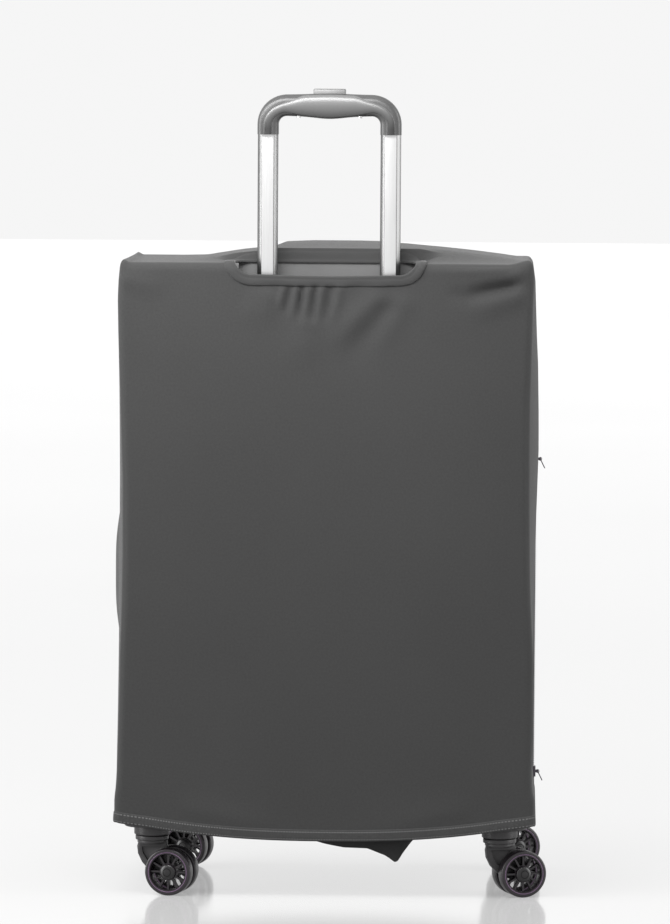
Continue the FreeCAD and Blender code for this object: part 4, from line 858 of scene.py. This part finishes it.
def slot_line(offset, step=3 * MM):
    """The opening's rounded line, moved outwards, as places across and up."""
    left, right = SLOT_LEFT + SLOT_CORNER, SLOT_RIGHT - SLOT_CORNER
    down, up = SLOT_DOWN + SLOT_CORNER, SLOT_UP - SLOT_CORNER
    radius = SLOT_CORNER + offset
    line = []
    corners = [((right, down), -90), ((right, up), 0), ((left, up), 90), ((left, down), 180)]
    for number, ((cx, cy), start) in enumerate(corners):
        for turn in np.linspace(start, start + 90, 12):
            angle = math.radians(turn)
            line.append((cx + radius * math.cos(angle), cy + radius * math.sin(angle)))
        here = np.array(line[-1])
        (nx, ny), next_start = corners[(number + 1) % 4]
        angle = math.radians(next_start)
        there = np.array([nx + radius * math.cos(angle), ny + radius * math.sin(angle)])
        runs = 1 + int(np.hypot(*(np.array([nx, ny]) - (cx, cy))) / step)
        for share in np.arange(1, runs) / runs:
            line.append(tuple(here + (there - here) * share))
    return np.array(line)


def band_row(offset, lift):
    """One turn round the opening, a little waved along its outer edge."""
    line = slot_line(offset)
    wave = 0.35 * MM * np.sin(line[:, 0] / (7 * MM)) * ease(offset, 2 * MM, 9 * MM)
    return drape(on_box(line[:, 0], line[:, 1]), lift + wave)


# The section of each strip, from edge to edge: how far out (or up) and how high, in mm.
band_crown = [(-0.9, -0.6), (-1.0, 0.5), (-0.4, 1.5), (0.8, 1.8), (2.0, 1.4), (3.4, 1.9),
              (5.2, 2.1), (7.2, 1.9), (8.8, 1.6), (9.8, 1.2), (10.1, 0.2)]
band = strip("cover_band", [band_row(offset * MM, lift * MM) for offset, lift in band_crown],
             band_cloth, True, 0.5 * MM)
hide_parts("cover_binding")


def hem_row(height, lift):
    """One turn round the box at a height above its lower edge."""
    r = EDGES[0]
    x_run = np.linspace(-HALF + r, HALF - r, 80)
    y_run = np.linspace(-DEEP + r, DEEP - r, 50)
    turn = np.radians(np.linspace(0, 90, 7))[1:-1]
    z = HEM + height
    turns = [(x, -DEEP) for x in x_run]
    turns += [(HALF - r + r * math.sin(a), -DEEP + r - r * math.cos(a)) for a in turn]
    turns += [(HALF, y) for y in y_run]
    turns += [(HALF - r + r * math.cos(a), DEEP - r + r * math.sin(a)) for a in turn]
    turns += [(x, DEEP) for x in x_run[::-1]]
    turns += [(-HALF + r - r * math.sin(a), DEEP - r + r * math.cos(a)) for a in turn]
    turns += [(-HALF, y) for y in y_run[::-1]]
    turns += [(-HALF + r - r * math.cos(a), -DEEP + r - r * math.sin(a)) for a in turn]
    points = np.array([(x, y, z) for x, y in turns])
    return drape(points, lift)


hem_crown = [(0.2, -2.2), (-0.6, -1.2), (-0.8, 0.2), (0.4, 0.9), (2.4, 0.95), (4.8, 0.85),
             (7.5, 0.75), (9.8, 0.5), (10.8, 0.35), (11.2, -0.3)]
hem = strip("cover_turned_hem", [hem_row(height * MM, lift * MM) for height, lift in hem_crown],
            hem_cloth, True, 0.4 * MM)
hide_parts("cover_hem")


# %% [markdown]
# ## The trolley handle
# The tubes are drawn aluminium with bevelled long edges. The grip is two swept shells: a
# dark one behind and a silver one in front, which narrows towards its ends. Each is a
# cylinder primitive with many rings; its rings are moved on to the grip's path.

# %% Tubes


def chamfer(piece, along, width, segments=1):
    """Bevel the long edges of a block."""
    select_where(piece, lambda centre, run: abs(run[along]) > 0.9, "EDGE")
    bpy.ops.mesh.bevel(offset=width, segments=segments, affect="EDGES")
    leave_edit()
    return piece


def worked_block(name, low, high, edge, segments, material, rides, parent=None):
    """A block with eased edges, finished and attached."""
    piece = block(name, low, high)
    bevel_all(piece, edge, segments)
    smooth(piece, 35)
    clothe(piece, material)
    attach(piece, rides)
    if parent:
        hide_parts(parent)
    return piece


# Each stage of the tubes: the body it rides on, and its bevel in mm.
STAGES = {"outer_tube": ("case", 2.0), "mid_tube": ("trolley_lower", 3.0),
          "inner_tube": ("trolley_upper", 4.4)}
for stage, (rides, width) in STAGES.items():
    for hand in ("left", "right"):
        low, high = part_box("%s_%s" % (stage, hand))
        tube = block("%s_drawn_%s" % (stage, hand), low, high)
        chamfer(tube, 2, width * MM)
        chamfer(tube, 2, 0.7 * MM, 2)
        select_where(tube, lambda centre, normal: abs(normal.z) > 0.9)
        bpy.ops.mesh.inset(thickness=1.2 * MM, depth=0)
        bpy.ops.mesh.inset(thickness=0.01 * MM, depth=-10 * MM)
        leave_edit()
        smooth(tube, 25)
        clothe(tube, tube_metal)
        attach(tube, rides)
        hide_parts("%s_%s" % (stage, hand))

# %% Grip
rear_low, rear_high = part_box("grip_shell_rear")
front_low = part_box("grip_shell_front")[0]
tube_low, tube_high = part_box("inner_tube_right")
# How far each leg's middle is from the case's middle, and the radius of the grip's bends.
LEG = (tube_low.x + tube_high.x) / 2
BEND = 20 * MM


def arch(share, height, half_width):
    """A point and its direction on the grip's middle line: up, across and down."""
    rise = height - BEND - rear_low.z
    quarter = BEND * math.pi / 2
    across = 2 * (half_width - BEND)
    total = 2 * rise + 2 * quarter + across
    way = share * total
    if way < rise:
        return (-half_width, rear_low.z + way), (0, 1)
    way -= rise
    if way < quarter:
        a = way / BEND
        return ((-half_width + BEND - BEND * math.cos(a), height - BEND + BEND * math.sin(a)),
                (math.sin(a), math.cos(a)))
    way -= quarter
    if way < across:
        return (-half_width + BEND + way, height), (1, 0)
    way -= across
    if way < quarter:
        a = way / BEND
        return ((half_width - BEND + BEND * math.sin(a), height - BEND + BEND * math.cos(a)),
                (math.cos(a), -math.sin(a)))
    way -= quarter
    return (half_width, height - BEND - way), (0, -1)


def swept(name, rings, around, section, material, rides):
    """A cylinder primitive whose rings are laid along the grip's arch."""
    piece = made_by(bpy.ops.mesh.primitive_cylinder_add, name, vertices=around, radius=1,
                    depth=1, end_fill_type="NGON")
    bisect_all(piece, 2, [-0.5 + step / (rings - 1) for step in range(1, rings - 1)])
    flat = points_of(piece)
    placed = np.empty_like(flat)
    for number, (x, y, z) in enumerate(flat):
        placed[number] = section(z + 0.5, math.atan2(y, x))
    set_points(piece, placed)
    face_outwards(piece)
    smooth(piece, 55)
    clothe(piece, material)
    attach(piece, rides)
    return piece


def rounded_section(angle, wide, deep, power):
    """A squared circle: across the grip, and through it."""
    c, s = math.cos(angle), math.sin(angle)
    return (wide * math.copysign(abs(c) ** power, c), deep * math.copysign(abs(s) ** power, s))


def rear_section(share, angle):
    """The dark shell: 22 mm legs that swell to a deeper bar with a waved underside."""
    bar = ease(share, 0.16, 0.34) * (1 - ease(share, 0.66, 0.84))
    middle = math.exp(-((share - 0.5) / 0.13) ** 2)
    thick = 11.2 * MM + bar * 0.2 * MM + middle * 1.3 * MM
    (x, z), (dx, dz) = arch(share, rear_high.z - 11.4 * MM, LEG)
    deep = (rear_high.y - front_low.y) / 2 - 0.4 * MM
    across, through = rounded_section(angle, thick, deep, 0.55)
    if across < 0:
        across *= 1 + 0.12 * middle
    y = (rear_high.y + front_low.y) / 2 + through
    return (x - dz * across, y, z + dx * across)


def front_section(share, angle):
    """The silver shell: it stands a little proud in front and narrows at the legs."""
    bar = ease(share, 0.20, 0.36) * (1 - ease(share, 0.64, 0.80))
    middle = math.exp(-((share - 0.5) / 0.13) ** 2)
    thick = 5.6 * MM + bar * 5.0 * MM + middle * 1.2 * MM
    (x, z), (dx, dz) = arch(share, rear_high.z - 11.6 * MM, LEG)
    shift = -2.0 * MM * ease(share, 0.05, 0.2) * (1 - ease(share, 0.8, 0.95)) * (1 - bar)
    across, through = rounded_section(angle, thick, 5.0 * MM, 0.7)
    if across < 0:
        across *= 1 + 0.14 * middle
    y = front_low.y + 4.4 * MM + through
    return (x - dz * (across + shift), y, z + dx * (across + shift))


grip_rear = swept("grip_dark_shell", 65, 40, rear_section, grip_dark, "trolley_upper")
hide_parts("grip_shell_rear")
grip_front = swept("grip_silver_shell", 65, 32, front_section, grip_silver, "trolley_upper")
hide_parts("grip_shell_front")

button_low, button_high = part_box("release_button")
button = worked_block("release_button_cap", button_low,
                      button_high + Vector((0, 0, 2 * MM)), 1.4 * MM, 3, grip_silver,
                      "release", "release_button")
frame_low = Vector((button_low.x - 1.6 * MM, button_low.y - 1.4 * MM, rear_high.z - 2.5 * MM))
frame_high = Vector((button_high.x + 1.6 * MM, button_high.y + 1.4 * MM, rear_high.z + 0.5 * MM))
button_frame = worked_block("release_button_frame", frame_low, frame_high, 0.6 * MM, 2,
                            grip_dark, "trolley_upper")

# %% [markdown]
# ## Casters
# One wheel is made at the origin: a cylinder dished on both faces, windows cut between
# twelve spokes, a domed hub cap and thin light purple rings, which are painted highlights on
# the rim's edges. It is copied eight times, turned as its caster stands and given its place.
# Forks and housings are made the same way, once for each corner.

# %% One wheel
R = 25 * MM
W = 13 * MM
# Steps cut into both faces, from the rim inwards: width and depth in mm.
FACE_STEPS = [(3.6, 0), (0.5, -0.7), (0.6, -2.6), (9.6, 0), (0.6, 3.0)]
# Windows between the spokes: their ends' distance from the axle, and half width there.
SPOKES = 12
WINDOW_IN, WINDOW_OUT = (9.2 * MM, 1.5 * MM), (18.8 * MM, 4.0 * MM)


def cylinder(name, radius, depth, sides, place=(0, 0, 0)):
    return settle(made_by(bpy.ops.mesh.primitive_cylinder_add, name, vertices=sides,
                          radius=radius, depth=depth, location=place))


def ring(name, radius, thick, height, material):
    piece = made_by(bpy.ops.mesh.primitive_torus_add, name, major_radius=radius,
                    minor_radius=thick, location=(0, 0, height), major_segments=64,
                    minor_segments=10)
    smooth(settle(piece))
    return clothe(piece, material)


def join(pieces, name):
    deselect()
    for piece in pieces:
        piece.select_set(True)
    bpy.context.view_layer.objects.active = pieces[0]
    bpy.ops.object.join()
    pieces[0].name = name
    return pieces[0]


wheel = cylinder("wheel_master", R, W, 72)
select_where(wheel, lambda centre, run: abs(math.hypot(centre.x, centre.y) - R) < 0.2 * MM
             and abs(abs(centre.z) - W / 2) < 0.1 * MM, "EDGE")
bpy.ops.mesh.bevel(offset=1.8 * MM, segments=4, affect="EDGES")
leave_edit()
select_where(wheel, lambda centre, normal: (
    abs(normal.z) > 0.9 and math.hypot(centre.x, centre.y) < 5 * MM))
for width, depth in FACE_STEPS:
    bpy.ops.mesh.inset(thickness=width * MM, depth=depth * MM)
leave_edit()
cutters = []
for step in range(SPOKES):
    cutter = made_by(bpy.ops.mesh.primitive_cube_add, "wheel_window", size=1)
    flat = points_of(cutter)
    far = flat[:, 0] > 0
    flat[:, 0] = np.where(far, WINDOW_OUT[0], WINDOW_IN[0])
    flat[:, 1] = np.sign(flat[:, 1]) * np.where(far, WINDOW_OUT[1], WINDOW_IN[1])
    flat[:, 2] *= 3 * W
    set_points(cutter, flat)
    bevel_all(cutter, 0.7 * MM, 2)
    cutter.rotation_euler = (0, 0, math.radians(360 / SPOKES * (step + 0.5)))
    cutters.append(settle(cutter))
cutter = join(cutters, "wheel_windows")
cut_with(wheel, cutter)
drop(cutter)
smooth(wheel, 35)
clothe(wheel, wheel_plastic)
extras = []
for face in (-1, 1):
    cap = made_by(bpy.ops.mesh.primitive_uv_sphere_add, "hub_cap", radius=1, segments=40,
                  ring_count=20, location=(0, 0, face * (W / 2 - 0.9 * MM)))
    cap.scale = (8.2 * MM, 8.2 * MM, 2.9 * MM)
    settle(cap)
    smooth(cap)
    extras.append(clothe(cap, hub_plastic))
    # Two rings on each face: painted highlights along the rim's edges.
    extras.append(ring("rim_ring", 21.0 * MM, 0.35 * MM, face * (W / 2 - 0.15 * MM), rim_highlight_paint))
    extras.append(ring("edge_ring", 24.1 * MM, 0.28 * MM, face * (W / 2 - 1.35 * MM), rim_highlight_paint))
wheel = join([wheel] + extras, "wheel_master")


def copy_of(piece, name):
    take(piece)
    bpy.ops.object.duplicate()
    made = bpy.context.object
    made.name = name
    return made


# %% The four casters
# Each corner's swivel: where it is, and the heading of its wheels.
SWIVEL = {}
JOINTS = {joint["name"]: joint for joint in frame["record"]["behaviour"]["joints"]}
for corner in ("back_left", "back_right", "front_left", "front_right"):
    swivel = JOINTS["caster_%s_swivel" % corner]
    axis = JOINTS["wheel_%s_outer_spin" % corner]["axis"]
    SWIVEL[corner] = (Vector(swivel["pos_m"]), math.atan2(-axis[0], axis[1]))

# Outlines of the fork's side and of the recess in it, out from the swivel and up, in mm.
horn_outline = [(-13.5, 57), (-15.5, 50), (-14.5, 42), (-10, 33), (-3, 25.5), (6, 20), (15, 17.8),
                (22, 17.4), (27, 19), (30, 24), (29.5, 30), (26.5, 37), (21, 44),
                (17, 51), (16, 57)]
window_outline = [(-10.2, 49.5), (-9.0, 43), (-4.0, 35.5), (0.5, 32), (2.5, 38), (7, 44.5),
                  (12, 49.5)]
# Round parts about the swivel: radius, length, height of the middle, sides, eased edge; mm.
FORK_ROUNDS = {"fork_disc": (17.6, 5, 60, 64, 1.0), "fork_lip": (15.6, 4, 56, 64, 1.2),
               "fork_pin": (5.9, 19, 72, 32, 0)}
HOUSING_ROUNDS = {"collar": (19, 12, 69.2, 72, 1.0), "shoulder": (21.5, 5, 75, 72, 1.6)}
# How far behind its swivel a wheel's axle is, and how far its middle is to the side.
TRAIL, WHEEL_SIDE = 22 * MM, 11 * MM


def round_part(name, sizes, x=0, y=0):
    """A cylinder about a swivel with its ends eased, from a row of sizes in mm."""
    radius, length, height, sides, edge = sizes
    piece = cylinder(name, radius * MM, length * MM, sides, (x, y, height * MM))
    return bevel_sharp(piece, edge) if edge else piece


def plate(name, outline, thick):
    """A filled circle primitive drawn on to an outline in the XZ plane, given a thickness."""
    piece = made_by(bpy.ops.mesh.primitive_circle_add, name, vertices=len(outline), radius=1,
                    fill_type="NGON")
    flat = points_of(piece)
    order = np.argsort(np.arctan2(flat[:, 1], flat[:, 0]))
    for number, (x, z) in zip(order, outline):
        flat[number] = (x * MM, 0, z * MM)
    set_points(piece, flat)
    finish_with(piece, "SOLIDIFY", thickness=thick, offset=0)
    face_outwards(piece)
    return piece


def place_caster_piece(piece, corner):
    """Turn a piece that was made about its swivel, and set it under its corner."""
    where, heading = SWIVEL[corner]
    piece.rotation_euler = (0, 0, heading)
    piece.location = (where.x, where.y, 0)
    return settle(piece)


for corner in SWIVEL:
    horn = plate("fork_horn_" + corner, horn_outline, 8.0 * MM)
    for face in (-1, 1):
        recess = plate("recess", window_outline, 5.4 * MM)
        recess.location = (0, face * 4.6 * MM, 0)
        settle(recess)
        cut_with(horn, recess)
        drop(recess)
    bevel_sharp(horn, 0.7, 2)
    rounds = [round_part(name, sizes) for name, sizes in FORK_ROUNDS.items()]
    fork = join([horn] + rounds, "caster_fork_moulded_" + corner)
    place_caster_piece(fork, corner)
    smooth(fork, 40)
    clothe(fork, caster_plastic)
    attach(fork, "caster_" + corner)
    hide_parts("caster_fork_" + corner)
    for hand, sign in (("outer", -1), ("inner", 1)):
        turned = copy_of(wheel, "caster_wheel_moulded_%s_%s" % (corner, hand))
        take(turned)
        bpy.ops.transform.rotate(value=math.radians(90), orient_axis="X", center_override=(0, 0, 0))
        bpy.ops.transform.translate(value=(TRAIL, sign * WHEEL_SIDE, R))
        settle(turned)
        place_caster_piece(turned, corner)
        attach(turned, "wheel_%s_%s" % (corner, hand))
        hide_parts("caster_wheel_%s_%s" % (corner, hand))
    low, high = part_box("caster_housing_" + corner)
    where = SWIVEL[corner][0]
    guard = block("guard", (low.x, low.y, high.z - 11 * MM), high)
    side_x = math.copysign(1, where.x)
    side_y = math.copysign(1, where.y)
    select_where(guard, lambda centre, run: abs(run.z) > 0.9 and centre.x * side_x > abs(where.x)
                 and centre.y * side_y > abs(where.y), "EDGE")
    bpy.ops.mesh.bevel(offset=22 * MM, segments=10, affect="EDGES")
    leave_edit()
    bevel_sharp(guard, 2.2, 3, 50)
    rounds = [round_part(name, sizes, where.x, where.y) for name, sizes in HOUSING_ROUNDS.items()]
    housing = join([guard] + rounds, "caster_housing_moulded_" + corner)
    smooth(housing, 40)
    clothe(housing, caster_plastic)
    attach(housing, "case")
    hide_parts("caster_housing_" + corner)
drop(wheel)

# %% [markdown]
# ## What hangs under the hem
# The cover is closed under the case by a black flap. A corner of it hangs out behind the
# hem at the right of the middle.

# %% Flap
flap_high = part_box("cover_flap")[1]
# Its lower edge: x, and the height over the cover's lower edge, in mm.
FLAP_EDGE = [(-23, 1.5), (0, -4.5), (20, -8.5), (33, -9.2), (45, -9.6), (57, -14), (64, -16.5),
             (70, -20.5), (74, -23.6), (77, -22.5), (82, -14), (90, -3), (98, 6)]
flap_steps = np.linspace(FLAP_EDGE[0][0], FLAP_EDGE[-1][0], 60)
flap_bottom = np.interp(flap_steps, *np.array(FLAP_EDGE, float).T)
flap_rows = []
for share in np.linspace(0, 1, 16):
    top = flap_high.z - 1 * MM
    bottom = HEM + flap_bottom * MM
    z = top + (bottom - top) * share
    wave = 2.4 * MM * np.sin(flap_steps / 11.0 + share * 1.4) * share
    y = flap_high.y - 9 * MM - wave + share * 5 * MM
    flap_rows.append(np.column_stack([flap_steps * MM, y, z]))
flap = strip("closing_flap_cloth", flap_rows, black_cloth, False, 1.2 * MM)
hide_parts("cover_flap")

# %% [markdown]
# ## The case under its cover
# The fabric case and its lining are soft, so the CAD's solids are replaced.
# The tray and the lid are boxes with rounded edges and puffed panels, opened on the side
# where they meet and given their wall. The two carry handles are padded webbing: a cylinder
# primitive laid along each handle's arch, flat at the anchors and full in the middle.

# %% Tray, lid and lining


def soft_box(name, low, high, wall, corner, puff, open_side, material, parent, slot_name):
    """A rounded fabric box, open on one side, with panels that swell; sizes in mm."""
    wall, corner, puff = wall * MM, corner * MM, puff * MM
    piece = block(name, low, high)
    select_where(piece, lambda centre, normal: normal.y * open_side > 0.5)
    bpy.ops.mesh.delete(type="FACE")
    leave_edit()
    for axis in range(3):
        gap = high[axis] - low[axis]
        count = max(6, int(gap / (14 * MM)))
        bisect_all(piece, axis, np.linspace(low[axis], high[axis], count)[1:-1])
    flat = points_of(piece)
    middle = (np.array(low) + np.array(high)) / 2
    half = (np.array(high) - np.array(low)) / 2
    share = (flat - middle) / half
    core = np.clip(flat - middle, -(half - corner), half - corner)
    core[:, 1] = np.where(flat[:, 1] * open_side > middle[1] * open_side,
                          flat[:, 1] - middle[1], core[:, 1])
    out = flat - middle - core
    length = np.linalg.norm(out, axis=1)
    length[length == 0] = 1
    moved = (np.abs(out).max(axis=1) > 0)[:, None]
    rounded = middle + core + out / length[:, None] * corner * moved
    for axis in range(3):
        others = [number for number in range(3) if number != axis]
        full = np.prod([np.clip(1 - share[:, other] ** 4, 0, 1) for other in others], axis=0)
        outer = (np.abs(share[:, axis]) > 0.999) * np.sign(share[:, axis])
        rounded[:, axis] += outer * full * puff
    set_points(piece, rounded)
    finish_with(piece, "SOLIDIFY", thickness=wall, offset=-1)
    if open_side > 0:
        room = block("cup_room", bezel_low + Vector((1, -9, 0)) * MM,
                     bezel_high + Vector((-1, 0, 9)) * MM)
        cut_with(piece, room)
        drop(room)
    smooth(piece, 50)
    clothe(piece, material)
    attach(piece, "case")
    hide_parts(parent)


# Fabric boxes: wall, corner and puff in mm, open side, cloth, CAD node, slot.
SOFT_BOXES = {
    "case_tray_fabric": (4.4, 18, 0.3, 1, case_cloth, "tray_shell", "case_fabric"),
    "case_lid_fabric": (4.4, 18, 0.3, -1, case_cloth, "lid_shell", "case_fabric"),
    "lining_fabric": (1.0, 14, -0.6, 1, lining_cloth, "lining", "lining_fabric"),
}
margin = Vector((0.4 * MM, 0.4 * MM, 0.4 * MM))
for name, row in SOFT_BOXES.items():
    low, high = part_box(row[5])
    soft_box(name, low + margin, high - margin, *row)

# %% Carry handles


def handle_path(share, low, high):
    """Height of a carry handle over its case along its length, and its thickness."""
    rise = high - low
    arched = ease(share, 0.03, 0.30) * (1 - ease(share, 0.70, 0.97))
    full = ease(share, 0.16, 0.30) * (1 - ease(share, 0.70, 0.84))
    thick = 2.6 * MM + full * 4.6 * MM
    return low + thick / 2 + (rise - thick) * arched, thick


def handle(name, parent, point):
    """Padded webbing along an arch; point turns (along, across, up) into a place."""
    piece = made_by(bpy.ops.mesh.primitive_cylinder_add, name, vertices=32, radius=1, depth=1,
                    end_fill_type="NGON")
    bisect_all(piece, 2, np.linspace(-0.5, 0.5, 61)[1:-1])
    placed = []
    for x, y, z in points_of(piece):
        share = z + 0.5
        up, thick = handle_path(share, 0.6 * MM, 16.4 * MM)
        angle = math.atan2(y, x)
        across = 14.2 * MM * math.copysign(abs(math.cos(angle)) ** 0.45, math.cos(angle))
        seam = 1 - 0.35 * math.exp(-((abs(across) - 11.0 * MM) / (1.1 * MM)) ** 2)
        through = thick / 2 * seam * math.copysign(abs(math.sin(angle)) ** 0.8, math.sin(angle))
        placed.append(point(share, across, up + through))
    set_points(piece, placed)
    face_outwards(piece)
    smooth(piece, 60)
    clothe(piece, webbing)
    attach(piece, "case")
    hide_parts(parent)


handle("top_handle_padded", "top_carry_handle", lambda share, across, up: (
    carry_low.x + (carry_high.x - carry_low.x) * share, across, carry_low.z + up))
handle("side_handle_padded", "side_carry_handle", lambda share, across, up: (
    side_high.x - up, across, side_low.z + (side_high.z - side_low.z) * share))

# %% [markdown]
# ### The cover's zip
# It is a tape strip with a comb of teeth. One tooth is a small bevelled box; it is laid out
# again and again by an Array modifier, which is applied.

# %% Zip
TOOTH_PITCH = 2.0 * MM
TAPE_POINTS = 90
# The tape's section in mm: places across it, and how far it stands out.
TAPE_SECTION = [(-2.9, 0.05), (-1.6, 0.35), (-0.3, 0.45), (0.3, 0.45), (1.6, 0.35), (2.9, 0.05)]
tape_steps = np.linspace(zip_low.z, zip_high.z, TAPE_POINTS)
tape_rows = []
for y, x in TAPE_SECTION:
    tape_rows.append(np.column_stack([np.full(TAPE_POINTS, zip_low.x + x * MM),
                                      np.full(TAPE_POINTS, y * MM), tape_steps]))
tape = strip("side_zip_tape", tape_rows, tape_cloth, False, 0.5 * MM)
tooth = block("side_zip_teeth", (zip_low.x + 0.4 * MM, -1.5 * MM, zip_low.z + 0.4 * MM),
              (zip_high.x - 0.1 * MM, 1.5 * MM, zip_low.z + 1.4 * MM))
finish_with(tooth, "BEVEL", width=0.25 * MM, segments=2)
finish_with(tooth, "ARRAY", count=int((zip_high.z - zip_low.z) / TOOTH_PITCH),
            use_relative_offset=False, use_constant_offset=True,
            constant_offset_displace=(0, 0, TOOTH_PITCH))
smooth(tooth, 40)
clothe(tooth, dark_metal)
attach(tooth, "case")
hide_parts("cover_zip")

# %% [markdown]
# ## What stays as the CAD made it
# The hard pieces inside, the sliders, the packing straps and the main zip keep their CAD
# shape and only get a finish.

# %% CAD nodes that keep their shape
FINISHES = {
    "main_zip": tape_cloth, "main_zip_sliders": dark_metal, "frame_hoop": steel,
    "back_board": black_plastic, "packing_straps": webbing, "strap_buckle": black_plastic,
    "handle_bezel": cup_plastic, "trolley_foot": black_plastic,
    "stage_bushes": black_plastic, "handle_bushes": black_plastic, "lock_pins": steel,
    "grip_screws": steel, "release_rods": steel, "button_spring": steel,
    "handle_anchors": black_plastic, "caster_screws": steel,
    "zip_slider_upper": dark_metal, "zip_slider_lower": dark_metal,
    "zip_pull_upper": dark_metal, "zip_pull_lower": dark_metal,
}
for name, node in frame["nodes"].items():
    if name.startswith("caster_axle"):
        clothe(node, blackened)
    elif name in FINISHES:
        clothe(node, FINISHES[name])

# %% [markdown]
# ## The cloth's areas
# The areas of the cover and of the flap, each counted on one face, are printed.

# %% The cloth's areas
def cloth_area(piece):
    """Area of one face of a thin closed piece."""
    return sum(face.area for face in piece.data.polygons) / 2


print("cover %.3f m2, flap %.4f m2" % (cloth_area(cover), cloth_area(flap)))
